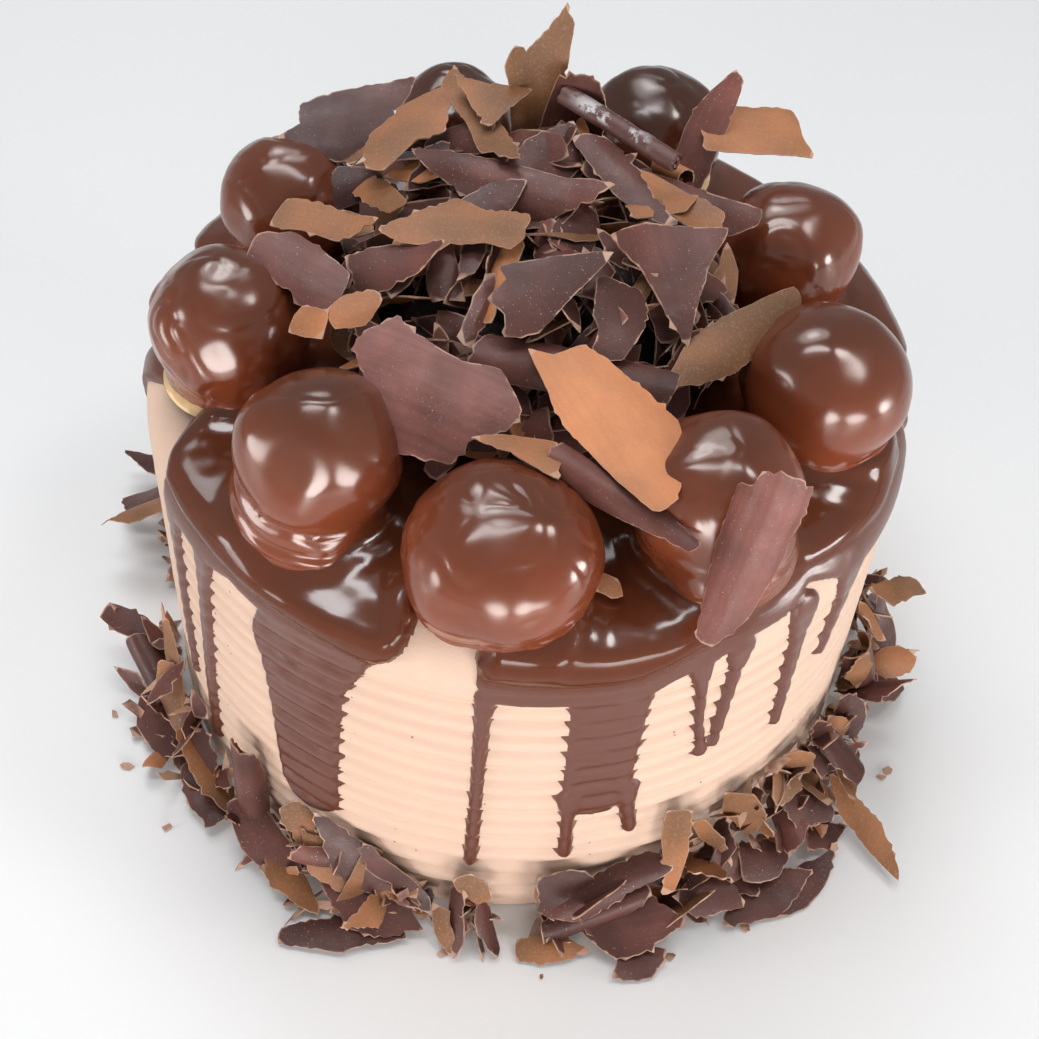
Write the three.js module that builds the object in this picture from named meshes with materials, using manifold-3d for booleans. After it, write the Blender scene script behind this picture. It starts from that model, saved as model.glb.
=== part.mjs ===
// A round layer cake with combed frosting, poured ganache that runs down its side, a crown of nine
// dipped profiteroles, a heap of chocolate shards in the middle and clusters of shards at its foot.
// Millimetres, +Z up, origin at the middle of the base.
import * as THREE from "three";
import { mergeVertices } from "three/addons/utils/BufferGeometryUtils.js";
import Module from "manifold-3d";

// Frosted cake
const CAKE_RADIUS = 100;
const CAKE_HEIGHT = 115;
const RIM_ROUND = 13;
const RIM_STEPS = 4;
const PLAIN_FOOT = 3;
const COMB_RIDGES = 15;
const COMB_DEPTH = 0.9;
const CAKE_SIDES = 32;

// Ganache
const GANACHE_GAP = 0.6;
const GANACHE_THICKNESS = 2.4;
const GANACHE_CAP_REACH = 93;
const GANACHE_SIDES = 36;
const LOBE_START = 89;
const LOBE_THICKNESS = 2.6;
const DRIP_START = 104;
const DRIP_THICKNESS = 1.7;
const TONGUE_ROUND = 9;
// Each lobe hangs over the rim: middle angle in degrees, width along the rim, height of its edge.
const LOBES = [
  { angle: 234, width: 90, edge: 95 },
  { angle: 285, width: 70, edge: 99 },
  { angle: 316, width: 50, edge: 101 },
  { angle: 342, width: 40, edge: 104 },
  { angle: 18, width: 62, edge: 98 },
  { angle: 62, width: 66, edge: 100 },
  { angle: 106, width: 58, edge: 96 },
  { angle: 148, width: 64, edge: 99 },
];
// Each drip runs on down the side: middle angle, width, height of its lower end.
const DRIPS = [
  { angle: 211, width: 5, end: 33 },
  { angle: 219, width: 6, end: 14 },
  { angle: 241, width: 23, end: 26 },
  { angle: 267, width: 5, end: 22 },
  { angle: 284.5, width: 17, end: 54 },
  { angle: 281, width: 4, end: 28 },
  { angle: 290, width: 4, end: 35 },
  { angle: 298.5, width: 6, end: 62 },
  { angle: 302.5, width: 5, end: 63 },
  { angle: 315, width: 6, end: 56 },
  { angle: 324, width: 8, end: 70 },
  { angle: 2, width: 15, end: 50 },
  { angle: 52, width: 18, end: 44 },
  { angle: 101, width: 16, end: 34 },
  { angle: 152, width: 20, end: 48 },
  { angle: 163, width: 5, end: 26 },
];

// Profiteroles: place of the middle, largest radius, and the side where bare choux shows.
const COAT_THICKNESS = 1.2;
const COAT_GAP = 1.3;
const BUN_HEIGHT_RATIO = 1.72;
const BUN_FOOT_RATIO = 0.6;
const PROFITEROLE_SIDES = 12;
const ROOM_SIDES = 10;
const COAT_LIP = 1;
const PROFITEROLES = [
  { x: -74, y: -19, radius: 20, bareSide: 200, bareRise: 7 },
  { x: -48, y: -62, radius: 20, bareSide: 50, bareRise: 1 },
  { x: -3, y: -84, radius: 23, bareSide: 90, bareRise: 1 },
  { x: 45, y: -64, radius: 19.5, bareSide: 120, bareRise: 1 },
  { x: 73, y: -26, radius: 20.5, bareSide: 150, bareRise: 3 },
  { x: 67, y: 27, radius: 18.5, bareSide: 140, bareRise: 5 },
  { x: 29, y: 70, radius: 18.5, bareSide: 330, bareRise: 6 },
  { x: -26, y: 70, radius: 17.5, bareSide: 110, bareRise: 4 },
  { x: -66, y: 30, radius: 17.5, bareSide: 160, bareRise: 3 },
];

// Shards
const SHARD_THICKNESS = 1.4;
const HEAP_CORE_RADIUS = 53;
const HEAP_CORE_HEIGHT = 43;
const HEAP_CORE_SIDES = 14;
const PIECE_CLEARANCE = 2;
const SLIVER_SIZE = 0.15;
// Shards of the heap: the two ends of the middle line, width, roll about that line in degrees,
// curl across the width in degrees, and how far each end narrows.
const TOP_SHARDS = [
  { from: [-38, -40, 151], to: [-2, -56, 150], width: 25, roll: 20, curl: 25, taper: 0.35 },
  { from: [7, -38, 153], to: [32, -78, 145], width: 27, roll: 8, curl: 30, taper: 0.35 },
  { from: [-8, -64, 149], to: [38, -83, 142], width: 13, roll: 10, curl: 150, taper: 0.3 },
  { from: [32, -41, 145], to: [65, -8, 148], width: 12, roll: 25, curl: 40, taper: 0.3 },
  { from: [30, -3, 161], to: [38, -29, 148], width: 25, roll: 0, curl: 20, taper: 0.75 },
  { from: [-9, -31, 159], to: [17, -17, 161], width: 15, roll: 20, curl: 15, taper: 0.3 },
  { from: [14, -24, 158], to: [26, -38, 150], width: 14, roll: 0, curl: 20, taper: 0.3 },
  { from: [-33, 22, 159], to: [17, 2, 163], width: 14, roll: 20, curl: 40, taper: 0.55 },
  { from: [-38, -7, 156], to: [-1, -11, 161], width: 17, roll: 15, curl: 25, taper: 0.5 },
  { from: [-67, 3, 151], to: [-35, -6, 154], width: 9, roll: 15, curl: 15, taper: 0.3 },
  { from: [-70, -9, 154], to: [-43, -23, 148], width: 17, roll: 20, curl: 30, taper: 0.4 },
  { from: [-46, -12, 151], to: [-18, -15, 158], width: 11, roll: 20, curl: 60, taper: 0.4 },
  { from: [-43, 19, 153], to: [-26, 55, 157], width: 11, roll: -10, curl: 20, taper: 0.2 },
  { from: [-27, 55, 157], to: [-6, 15, 161], width: 8, roll: 10, curl: 15, taper: 0.2 },
  { from: [-68, 37, 152], to: [-28, 57, 156], width: 18, roll: 15, curl: 25, taper: 0.4 },
  { from: [0, 44, 142], to: [-1, 51, 184], width: 17, roll: 10, curl: 25, taper: 0.4 },
  { from: [3, 44, 164], to: [37, 20, 157], width: 8, roll: 0, curl: 240, taper: 0 },
  { from: [7, 28, 163], to: [34, -1, 157], width: 11, roll: 15, curl: 30, taper: 0.3 },
  { from: [19, 20, 159], to: [57, 17, 151], width: 11, roll: 15, curl: 40, taper: 0.5 },
  { from: [35, 28, 143], to: [49, 51, 171], width: 7, roll: 20, curl: 20, taper: 0.3 },
  { from: [41, 38, 157], to: [69, 41, 156], width: 13, roll: 20, curl: 25, taper: 0.1 },
  { from: [-15, -38, 152], to: [35, -43, 149], width: 10, roll: 20, curl: 90, taper: 0.3 },
];
// The big curl that leans on the outside of the fourth profiterole.
const LEANING_CURL = { from: [45, -99, 114], to: [54, -87, 153], width: 18, roll: -38, curl: 70 };

// Clusters of shards at the foot: a bank of scraps along a stretch of the rim, with shards in it.
// Each end of a shard is given by its angle in degrees, its distance from the axis and its height.
const FOOT_CLEARANCE = 3.6;
const BANK_DEPTH = 13;
const BANK_TOP_DEPTH = 4;
const BANK_HEIGHT = 24;
const FOOT_CLUSTERS = [
  {
    name: "left",
    start: 190,
    end: 224,
    shards: [
      { from: [191, 121, 20], to: [195, 104, 14], width: 7, roll: 20, curl: 20, taper: 0.6 },
      { from: [196, 114, 20], to: [208, 108, 10], width: 15, roll: 20, curl: 190, taper: 0 },
      { from: [202, 114, 6], to: [217, 112, 8], width: 13, roll: 25, curl: 30, taper: 0.4 },
      { from: [197, 105, 33], to: [211, 106, 12], width: 6, roll: 60, curl: 20, taper: 0.4 },
      { from: [211, 106, 22], to: [223, 110, 5], width: 10, roll: 30, curl: 40, taper: 0.3 },
    ],
  },
  {
    name: "front_left",
    start: 228,
    end: 260,
    shards: [
      { from: [229, 108, 38], to: [232, 111, 2], width: 15, roll: 0, curl: 200, taper: 0 },
      { from: [244, 127, 2.5], to: [259, 114, 4], width: 9, roll: 0, curl: 15, taper: 0.6 },
      { from: [229, 108, 16], to: [242, 114, 4], width: 12, roll: 20, curl: 30, taper: 0.4 },
      { from: [241, 110, 21], to: [253, 109, 8], width: 12, roll: 35, curl: 30, taper: 0.4 },
      { from: [245, 105, 30], to: [259, 109, 8], width: 10, roll: 45, curl: 30, taper: 0.5 },
      { from: [251, 114, 7], to: [261, 112, 3], width: 9, roll: 10, curl: 20, taper: 0.3 },
    ],
  },
  {
    name: "front",
    start: 264.5,
    end: 270,
    shards: [
      { from: [265, 105, 17], to: [266, 116, 2], width: 5, roll: 50, curl: 15, taper: 0.4 },
      { from: [266.5, 105, 22], to: [269, 109, 5], width: 6, roll: 30, curl: 20, taper: 0.2 },
      { from: [268.5, 105, 13], to: [270, 115, 2], width: 5, roll: -40, curl: 15, taper: 0.4 },
    ],
  },
  {
    name: "front_right",
    start: 277,
    end: 301,
    shards: [
      { from: [276, 108, 14], to: [286, 114, 4], width: 12, roll: 20, curl: 90, taper: 0.2 },
      { from: [280, 107, 22], to: [296, 108, 16], width: 12, roll: 30, curl: 100, taper: 0.3 },
      { from: [286, 110, 9], to: [295, 118, 4], width: 10, roll: 15, curl: 30, taper: 0.3 },
      { from: [291, 105, 33], to: [298, 110, 8], width: 10, roll: 35, curl: 40, taper: 0.3 },
      { from: [299, 105.5, 38], to: [300, 108, 6], width: 6, roll: 30, curl: 20, taper: 0.3 },
    ],
  },
  {
    name: "right",
    start: 305,
    end: 333,
    shards: [
      { from: [309, 105.5, 38], to: [315, 110, 13], width: 12, roll: 30, curl: 20, taper: 0.3 },
      { from: [307, 107, 24], to: [310, 115, 4], width: 10, roll: 25, curl: 30, taper: 0.4 },
      { from: [314, 109, 12], to: [319, 122, 4], width: 9, roll: 15, curl: 40, taper: 0.3 },
      { from: [328, 108, 8], to: [324, 141, 4], width: 6, roll: 30, curl: 30, taper: 0.5 },
      { from: [320, 106, 30], to: [327, 113, 8], width: 11, roll: 30, curl: 60, taper: 0.3 },
      { from: [325, 105.5, 38], to: [331, 109, 16], width: 8, roll: 30, curl: 30, taper: 0.3 },
      { from: [302, 116, 3], to: [317, 119, 3], width: 12, roll: 5, curl: 15, taper: 0.4 },
    ],
  },
  {
    name: "far_right",
    start: 338,
    end: 363,
    shards: [
      { from: [339, 107, 42], to: [346, 112, 6], width: 12, roll: 20, curl: 180, taper: 0 },
      { from: [359, 106, 20], to: [362, 125, 30], width: 9, roll: 20, curl: 20, taper: 0.4 },
      { from: [352, 106, 40], to: [355, 114, 8], width: 11, roll: 25, curl: 40, taper: 0.3 },
      { from: [340, 108, 13], to: [346, 121, 8], width: 9, roll: 15, curl: 30, taper: 0.3 },
      { from: [360, 105, 22], to: [361, 117, 4], width: 14, roll: 10, curl: 30, taper: 0.3 },
    ],
  },
  { name: "back_right", start: 22, end: 56, count: 4, seed: 73, shards: [] },
  { name: "back", start: 74, end: 112, count: 5, seed: 83, shards: [] },
  {
    name: "back_left",
    start: 130,
    end: 176,
    count: 4,
    seed: 97,
    shards: [
      { from: [174, 129, 16], to: [170, 106, 14], width: 11, roll: 30, curl: 25, taper: 0.2 },
      { from: [161, 136, 10], to: [159, 107, 13], width: 9, roll: 25, curl: 20, taper: 0.3 },
    ],
  },
];

const COLOURS = {
  frosting: 0xe8c4ae,
  ganache: 0x3a1d14,
  coat: 0x4a2418,
  choux: 0xd9a861,
  darkShard: 0x4e3030,
  shard: 0x5a3a34,
};

const wasm = await Module();
wasm.setup();

const radians = THREE.MathUtils.degToRad;

function material(name, colour, roughness) {
  return new THREE.MeshStandardMaterial({ name, color: colour, roughness, metalness: 0 });
}

const MATERIALS = {
  frosting: material("frosting", COLOURS.frosting, 0.75),
  ganache: material("ganache", COLOURS.ganache, 0.15),
  coat: material("chocolate_coat", COLOURS.coat, 0.18),
  choux: material("choux", COLOURS.choux, 0.7),
  shard: material("chocolate_shard", COLOURS.shard, 0.5),
};

// The same draws on every run.
function seededDraw(seed) {
  let state = seed * 7919;
  return (low, high) => {
    state = (state * 16807) % 2147483647;
    return low + ((high - low) * state) / 2147483647;
  };
}

function bare(geometry) {
  const copy = geometry.clone();
  for (const name of ["normal", "uv"]) {
    if (copy.attributes[name]) copy.deleteAttribute(name);
  }
  return mergeVertices(copy, 1e-3);
}

function solidOf(geometry) {
  const shape = bare(geometry);
  return new wasm.Manifold(
    new wasm.Mesh({
      numProp: 3,
      vertProperties: Float32Array.from(shape.attributes.position.array),
      triVerts: Uint32Array.from(shape.index.array),
    }),
  );
}

function geometryOf(solid) {
  const mesh = solid.getMesh();
  const points = new Float32Array(mesh.numVert * 3);
  for (let i = 0; i < mesh.numVert; i++) {
    for (let k = 0; k < 3; k++) points[3 * i + k] = mesh.vertProperties[mesh.numProp * i + k];
  }
  const geometry = new THREE.BufferGeometry();
  geometry.setAttribute("position", new THREE.BufferAttribute(points, 3));
  geometry.setIndex(Array.from(mesh.triVerts));
  geometry.computeVertexNormals();
  return geometry;
}

function largest(solid) {
  const bodies = solid.decompose();
  bodies.sort((a, b) => b.volume() - a.volume());
  return bodies[0];
}

// The pieces joined to one body, less the cutters; loose chips and slivers are dropped.
function fused(pieces, cutters) {
  let body = wasm.Manifold.union(pieces.map(solidOf));
  if (cutters.length > 0) body = body.subtract(wasm.Manifold.union(cutters.map(solidOf)));
  const clean = largest(body).simplify(SLIVER_SIZE);
  return geometryOf(largest(solidOf(geometryOf(largest(clean)))));
}

// A turned shape whose outline may change with the angle: pointAt gives radius and height.
function turned(count, sides, pointAt) {
  const outline = [];
  for (let j = 0; j < count; j++) outline.push(new THREE.Vector2(...pointAt(j, 0)));
  const geometry = new THREE.LatheGeometry(outline, sides);
  const position = geometry.attributes.position;
  for (let i = 0; i <= sides; i++) {
    const turn = (2 * Math.PI * (i % sides)) / sides;
    for (let j = 0; j < count; j++) {
      const [radius, height] = pointAt(j, turn);
      position.setXYZ(i * count + j, radius * Math.cos(turn), radius * Math.sin(turn), height);
    }
  }
  geometry.computeVertexNormals();
  return geometry;
}

// A point on the cake's smooth skin: reach is measured over the top and down the side.
function onSkin(reach, lift) {
  const flat = CAKE_RADIUS - RIM_ROUND;
  const arc = (RIM_ROUND * Math.PI) / 2;
  if (reach <= flat) return [reach, CAKE_HEIGHT + lift];
  if (reach <= flat + arc) {
    const bend = (reach - flat) / RIM_ROUND;
    const radius = RIM_ROUND + lift;
    return [flat + radius * Math.sin(bend), CAKE_HEIGHT - RIM_ROUND + radius * Math.cos(bend)];
  }
  return [CAKE_RADIUS + lift, CAKE_HEIGHT - RIM_ROUND - (reach - flat - arc)];
}

// How far over the top and down the side a height lies.
function reachOf(height) {
  const side = CAKE_HEIGHT - RIM_ROUND;
  const edge = CAKE_RADIUS - RIM_ROUND + (RIM_ROUND * Math.PI) / 2;
  if (height <= side) return edge + side - height;
  return edge - RIM_ROUND * Math.asin((height - side) / RIM_ROUND);
}

function frostedCake() {
  const outline = [[0, 0], [CAKE_RADIUS - COMB_DEPTH, 0]];
  const pitch = (CAKE_HEIGHT - RIM_ROUND - PLAIN_FOOT) / COMB_RIDGES;
  for (let ridge = 0; ridge < COMB_RIDGES; ridge++) {
    const foot = PLAIN_FOOT + ridge * pitch;
    outline.push([CAKE_RADIUS - COMB_DEPTH, foot]);
    outline.push([CAKE_RADIUS, foot + 0.45 * pitch]);
  }
  for (let step = 0; step <= RIM_STEPS; step++) {
    const bend = (Math.PI / 2) * (step / RIM_STEPS);
    outline.push([
      CAKE_RADIUS - RIM_ROUND + RIM_ROUND * Math.cos(bend),
      CAKE_HEIGHT - RIM_ROUND + RIM_ROUND * Math.sin(bend),
    ]);
  }
  outline.push([0, CAKE_HEIGHT]);
  return turned(outline.length, CAKE_SIDES, (j) => outline[j]);
}

// The pool of ganache on top, down to just over the rim.
function ganacheCap() {
  const reaches = [0, 86, 90, GANACHE_CAP_REACH];
  const inner = reaches.map((reach) => [reach, GANACHE_GAP]);
  const outer = reaches.map((reach) => [reach, GANACHE_GAP + GANACHE_THICKNESS]);
  outer[outer.length - 1][1] = GANACHE_GAP + 0.5 * GANACHE_THICKNESS;
  const outline = [...inner, ...outer.reverse()].map(([reach, lift]) => onSkin(reach, lift));
  return turned(outline.length, GANACHE_SIDES, (j) => outline[j]);
}

// A tongue of ganache on the skin, from one reach to another, rounded at its lower end.
function tongue({ angle, width, steps, gap, thickness, across }) {
  const along = steps.length - 1;
  const length = steps[along] - steps[0];
  const rounding = Math.min(0.6 * width, TONGUE_ROUND);
  const geometry = new THREE.BoxGeometry(1, 1, 1, across, 1, along);
  const position = geometry.attributes.position;
  for (let i = 0; i < position.count; i++) {
    const reach = steps[Math.round((0.5 - position.getZ(i)) * along)];
    const side = -2 * position.getX(i);
    const out = position.getY(i) + 0.5;
    const late = Math.max(0, 1 - (steps[along] - reach) / rounding);
    const half = 0.5 * width - 0.7 * rounding * (1 - Math.sqrt(1 - late * late));
    const early = 0.7 + 0.3 * Math.min(1, (3 * (reach - steps[0])) / length);
    const swell = early * (1 - 0.75 * side ** 4) * (1 - 0.4 * late);
    const [radius, height] = onSkin(reach, gap + out * thickness * swell);
    const turn = radians(angle) + (half * side) / CAKE_RADIUS;
    position.setXYZ(i, radius * Math.cos(turn), radius * Math.sin(turn), height);
  }
  return geometry;
}

function ganache() {
  const pieces = [ganacheCap()];
  for (const { angle, width, edge } of LOBES) {
    const end = reachOf(edge);
    pieces.push(
      tongue({
        angle,
        width,
        steps: [LOBE_START, 95, 101, end - 5, end],
        gap: GANACHE_GAP + 0.25,
        thickness: LOBE_THICKNESS,
        across: Math.round(width / 17),
      }),
    );
  }
  for (const { angle, width, end } of DRIPS) {
    const last = reachOf(end);
    pieces.push(
      tongue({
        angle,
        width,
        steps: [DRIP_START, last - Math.min(0.6 * width, TONGUE_ROUND), last],
        gap: GANACHE_GAP + 0.5,
        thickness: DRIP_THICKNESS,
        across: width > 10 ? 3 : 2,
      }),
    );
  }
  return fused(pieces, []);
}

// Radius and height on a profiterole's skin, from its foot (0) to its top (1).
function onBun(profiterole, share, turn, inset) {
  const { x, radius } = profiterole;
  const full = radius - inset;
  const height = BUN_HEIGHT_RATIO * radius;
  const bend = Math.PI * (0.12 + 0.88 * share);
  const round = Math.sin(bend) ** 0.8;
  const lumps = 0.05 * Math.sin(3 * turn + x) + 0.035 * Math.sin(5 * turn + 2 * x);
  const wide = full * round * (1 + lumps * Math.sin(Math.PI * share));
  const low = (1 - Math.cos(bend)) / 2;
  const floor = (1 - Math.cos(Math.PI * 0.12)) / 2;
  const rise = ((low - floor) / (1 - floor)) * (height - inset);
  if (share <= 0) return [BUN_FOOT_RATIO * full, 0];
  return [Math.max(wide, share >= 1 ? 0 : 0.5), rise];
}

function bun(profiterole) {
  const inset = COAT_THICKNESS + COAT_GAP;
  const shares = [0, 0.2, 0.44, 0.72, 1];
  return turned(shares.length + 1, PROFITEROLE_SIDES, (j, turn) => {
    if (j === 0) return [0, 0];
    if (j === shares.length) return [0, onBun(profiterole, 1, turn, inset)[1]];
    return onBun(profiterole, shares[j - 1], turn, inset);
  });
}

// Share of the bun's height at which the dipped coat ends.
function coatEdge({ radius, bareSide, bareRise }, turn) {
  const facing = Math.max(0, Math.cos(turn - radians(bareSide)));
  return (COAT_LIP + bareRise * facing ** 3) / (BUN_HEIGHT_RATIO * radius) + 0.1;
}

function coat(profiterole) {
  const steps = 5;
  const point = (step, turn, inset) => {
    if (step === steps) return [0, onBun(profiterole, 1, turn, inset)[1]];
    const edge = coatEdge(profiterole, turn);
    return onBun(profiterole, edge + (1 - edge) * (step / steps), turn, inset);
  };
  const count = 2 * steps + 2;
  return turned(count, PROFITEROLE_SIDES, (j, turn) => {
    if (j <= steps) return point(steps - j, turn, COAT_THICKNESS);
    return point(j - steps - 1, turn, 0);
  });
}

// The room a profiterole takes, a little larger than its coat.
function profiteroleRoom(profiterole, floor) {
  const shares = [0, 0.25, 0.45, 0.65, 0.83, 1];
  const geometry = turned(shares.length + 1, ROOM_SIDES, (j, turn) => {
    if (j === 0) return [0, -2];
    if (j === shares.length) return [0, onBun(profiterole, 1, turn, -PIECE_CLEARANCE)[1]];
    return onBun(profiterole, shares[j - 1], turn, -PIECE_CLEARANCE);
  });
  return geometry.translate(profiterole.x, profiterole.y, floor);
}

// A plate of chocolate, curled across its width and narrowed to its ends.
function shard({ from, to, width, roll, curl, taper = 0 }, along = 2, across = 2) {
  const start = new THREE.Vector3(...from);
  const end = new THREE.Vector3(...to);
  const length = start.distanceTo(end);
  const steps = curl > 60 ? 4 : across;
  const geometry = new THREE.BoxGeometry(length, width, SHARD_THICKNESS, along, steps, 1);
  const position = geometry.attributes.position;
  const bendRadius = width / radians(curl);
  for (let i = 0; i < position.count; i++) {
    const reach = (2 * position.getX(i)) / length;
    const narrow = 1 - taper * reach * reach;
    const bend = (position.getY(i) * narrow) / bendRadius;
    const arm = bendRadius + position.getZ(i);
    position.setXYZ(i, position.getX(i), arm * Math.sin(bend), arm * Math.cos(bend) - bendRadius);
  }
  const axis = end.clone().sub(start).normalize();
  const up = new THREE.Vector3(0, 0, 1);
  if (Math.abs(axis.z) > 0.85) up.set(start.x, start.y, 0).normalize();
  const face = up.addScaledVector(axis, -up.dot(axis)).normalize();
  face.applyAxisAngle(axis, radians(roll));
  const side = face.clone().cross(axis);
  const place = new THREE.Matrix4().makeBasis(axis, side, face);
  place.setPosition(start.add(end).multiplyScalar(0.5));
  return geometry.applyMatrix4(place);
}

// The middle of the heap, a flat-topped dome.
function heapCore(floor) {
  const shares = [1, 0.95, 0.75, 0.4];
  return turned(shares.length + 2, HEAP_CORE_SIDES, (j, turn) => {
    if (j === 0) return [0, floor];
    if (j === shares.length + 1) return [0, floor + HEAP_CORE_HEIGHT];
    const wave = 1 + 0.03 * Math.sin(4 * turn);
    const rise = Math.sqrt(1 - shares[j - 1] ** 3);
    return [HEAP_CORE_RADIUS * shares[j - 1] * wave, floor + HEAP_CORE_HEIGHT * rise];
  });
}

function shardHeap(floor) {
  const pieces = [heapCore(floor), ...TOP_SHARDS.map((row) => shard(row))];
  return fused(pieces, PROFITEROLES.map((row) => profiteroleRoom(row, floor)));
}

function polar([angle, distance, height]) {
  return [distance * Math.cos(radians(angle)), distance * Math.sin(radians(angle)), height];
}

// A low bank along the foot of the cake, thinner towards its ends and its top.
function footBank({ start, end }) {
  const geometry = new THREE.BoxGeometry(1, 1, 1, 4, 1, 1);
  const position = geometry.attributes.position;
  for (let i = 0; i < position.count; i++) {
    const along = 0.5 - position.getX(i);
    const out = position.getY(i) + 0.5;
    const up = position.getZ(i) + 0.5;
    const full = 0.75 + 0.25 * Math.sin(Math.PI * along);
    const depth = THREE.MathUtils.lerp(BANK_DEPTH, BANK_TOP_DEPTH, up) * full;
    const distance = CAKE_RADIUS + FOOT_CLEARANCE + out * depth;
    const angle = start + (end - start) * along;
    position.setXYZ(i, ...polar([angle, distance, up * BANK_HEIGHT * full]));
  }
  return geometry;
}

// Shards strewn over a cluster that has no placed ones of its own.
function strewnShards({ start, end, count = 0, seed }) {
  const draw = seededDraw(seed);
  const rows = [];
  for (let i = 0; i < count; i++) {
    const angle = start + ((end - start) * (i + 0.5)) / count;
    const sweep = draw(-9, 9);
    rows.push({
      from: [angle - sweep, CAKE_RADIUS + FOOT_CLEARANCE + draw(9, 17), draw(3, 8)],
      to: [angle + sweep, CAKE_RADIUS + FOOT_CLEARANCE + draw(1, 4), draw(14, 34)],
      width: draw(9, 17),
      roll: draw(-35, 35),
      curl: draw(15, 35),
      taper: draw(0.1, 0.6),
    });
  }
  return rows;
}

function footCluster(cluster) {
  const rows = [...cluster.shards, ...strewnShards(cluster)];
  const placed = rows.map((row) => ({ ...row, from: polar(row.from), to: polar(row.to) }));
  const pieces = [footBank(cluster), ...placed.map((row) => shard(row, 2, row.curl > 35 ? 2 : 1))];
  const reach = CAKE_RADIUS + FOOT_CLEARANCE;
  const hollow = new THREE.CylinderGeometry(reach, reach, 160, CAKE_SIDES).rotateX(Math.PI / 2);
  const ground = new THREE.BoxGeometry(400, 400, 20).translate(0, 0, -10);
  return fused(pieces, [hollow, ground]);
}

const cake = new THREE.Group();
cake.name = "profiterole_cake";

function addMesh(parent, name, geometry, finish) {
  const mesh = new THREE.Mesh(geometry, finish);
  mesh.name = name;
  parent.add(mesh);
  return mesh;
}

addMesh(cake, "frosted_cake", frostedCake(), MATERIALS.frosting);
addMesh(cake, "ganache", ganache(), MATERIALS.ganache);

const crownFloor = CAKE_HEIGHT + GANACHE_GAP + GANACHE_THICKNESS + 0.35;
PROFITEROLES.forEach((row, index) => {
  const profiterole = new THREE.Group();
  profiterole.name = `profiterole_${index + 1}`;
  profiterole.position.set(row.x, row.y, crownFloor);
  addMesh(profiterole, `profiterole_${index + 1}_bun`, bun(row), MATERIALS.choux);
  addMesh(profiterole, `profiterole_${index + 1}_coat`, coat(row), MATERIALS.coat);
  cake.add(profiterole);
});

addMesh(cake, "shard_heap", shardHeap(crownFloor), MATERIALS.shard);
addMesh(cake, "leaning_curl", shard(LEANING_CURL, 4, 4), MATERIALS.shard);
for (const cluster of FOOT_CLUSTERS) {
  addMesh(cake, `shard_cluster_${cluster.name}`, footCluster(cluster), MATERIALS.shard);
}

export default cake;
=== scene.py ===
"""Looks of a profiterole cake: combed frosting, poured ganache, dipped profiteroles and chocolate shards.

Lengths in the tables are millimetres in the cake's own frame, +Z up, with the origin under its middle.
"""

import math
import random
from collections import namedtuple

import bmesh
import bpy
import numpy as np
from bpy.props import FloatProperty, FloatVectorProperty, IntProperty, PointerProperty
from mathutils import Matrix, Vector, noise


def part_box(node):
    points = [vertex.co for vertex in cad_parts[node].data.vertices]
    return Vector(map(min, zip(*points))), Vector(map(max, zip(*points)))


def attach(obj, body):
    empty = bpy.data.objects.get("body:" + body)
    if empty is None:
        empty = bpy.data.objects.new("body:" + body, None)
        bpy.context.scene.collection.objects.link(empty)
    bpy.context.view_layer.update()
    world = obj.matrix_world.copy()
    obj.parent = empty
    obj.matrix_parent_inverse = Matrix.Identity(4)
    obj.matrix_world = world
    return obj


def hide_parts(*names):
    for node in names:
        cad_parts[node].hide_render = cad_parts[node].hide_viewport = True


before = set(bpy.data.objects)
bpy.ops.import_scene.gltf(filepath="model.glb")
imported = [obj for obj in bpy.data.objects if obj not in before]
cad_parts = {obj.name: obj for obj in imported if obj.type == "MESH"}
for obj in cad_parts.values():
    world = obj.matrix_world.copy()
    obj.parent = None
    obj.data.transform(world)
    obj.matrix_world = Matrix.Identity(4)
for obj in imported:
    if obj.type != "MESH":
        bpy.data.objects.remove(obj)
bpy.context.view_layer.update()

bl_info = {
    "name": "Profiterole Cake",
    "version": (1, 0, 0),
    "blender": (4, 5, 0),
    "location": "3D View > Sidebar > Cake",
    "description": "Builds a frosted cake with ganache, profiteroles and chocolate shards",
    "category": "Add Mesh",
}

MM = 0.001
BODY = "root"

# Cake
CAKE_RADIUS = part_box("frosted_cake")[1].x / MM
CAKE_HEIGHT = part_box("frosted_cake")[1].z / MM
RIM_ROUND = 13.0
PLAIN_FOOT = 3.0
COMB_TOP = CAKE_HEIGHT - RIM_ROUND
FLAT_REACH = CAKE_RADIUS - RIM_ROUND
RIM_REACH = FLAT_REACH + RIM_ROUND * math.pi / 2
FRONT_ANGLE = 268.0
# Length of one degree round the side.
DEGREE = math.radians(1) * CAKE_RADIUS
# The frosting stays plain within this radius.
INNER_RING = 60
# Steps of the frosting's mesh round the cake, up a ridge and over the rim.
FROSTING_STEPS = 360
RIDGE_STEPS = 9
RIM_STEPS = 12

# Lower edge of the thick ganache where it shows: angle in degrees, reach over the top and down the side.
THICK_EDGE = [
    (186, 85), (199, 85), (202, 87), (205.5, 92), (208.5, 96), (212, 99.5), (218, 100.5), (224, 101),
    (229.5, 102), (234.5, 103), (240, 104), (245, 105), (250, 106), (253, 106), (255.2, 103.5), (256.6, 98),
    (257.2, 91), (257.8, 84), (265, 84), (265.6, 93), (266.2, 101), (267.2, 104.5), (272, 105), (278, 105),
    (287.5, 104.5), (291, 103), (294.5, 101), (300, 99), (308, 98), (316, 96), (324, 98), (334, 100),
    (344, 99), (350, 95), (354, 89),
]
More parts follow.
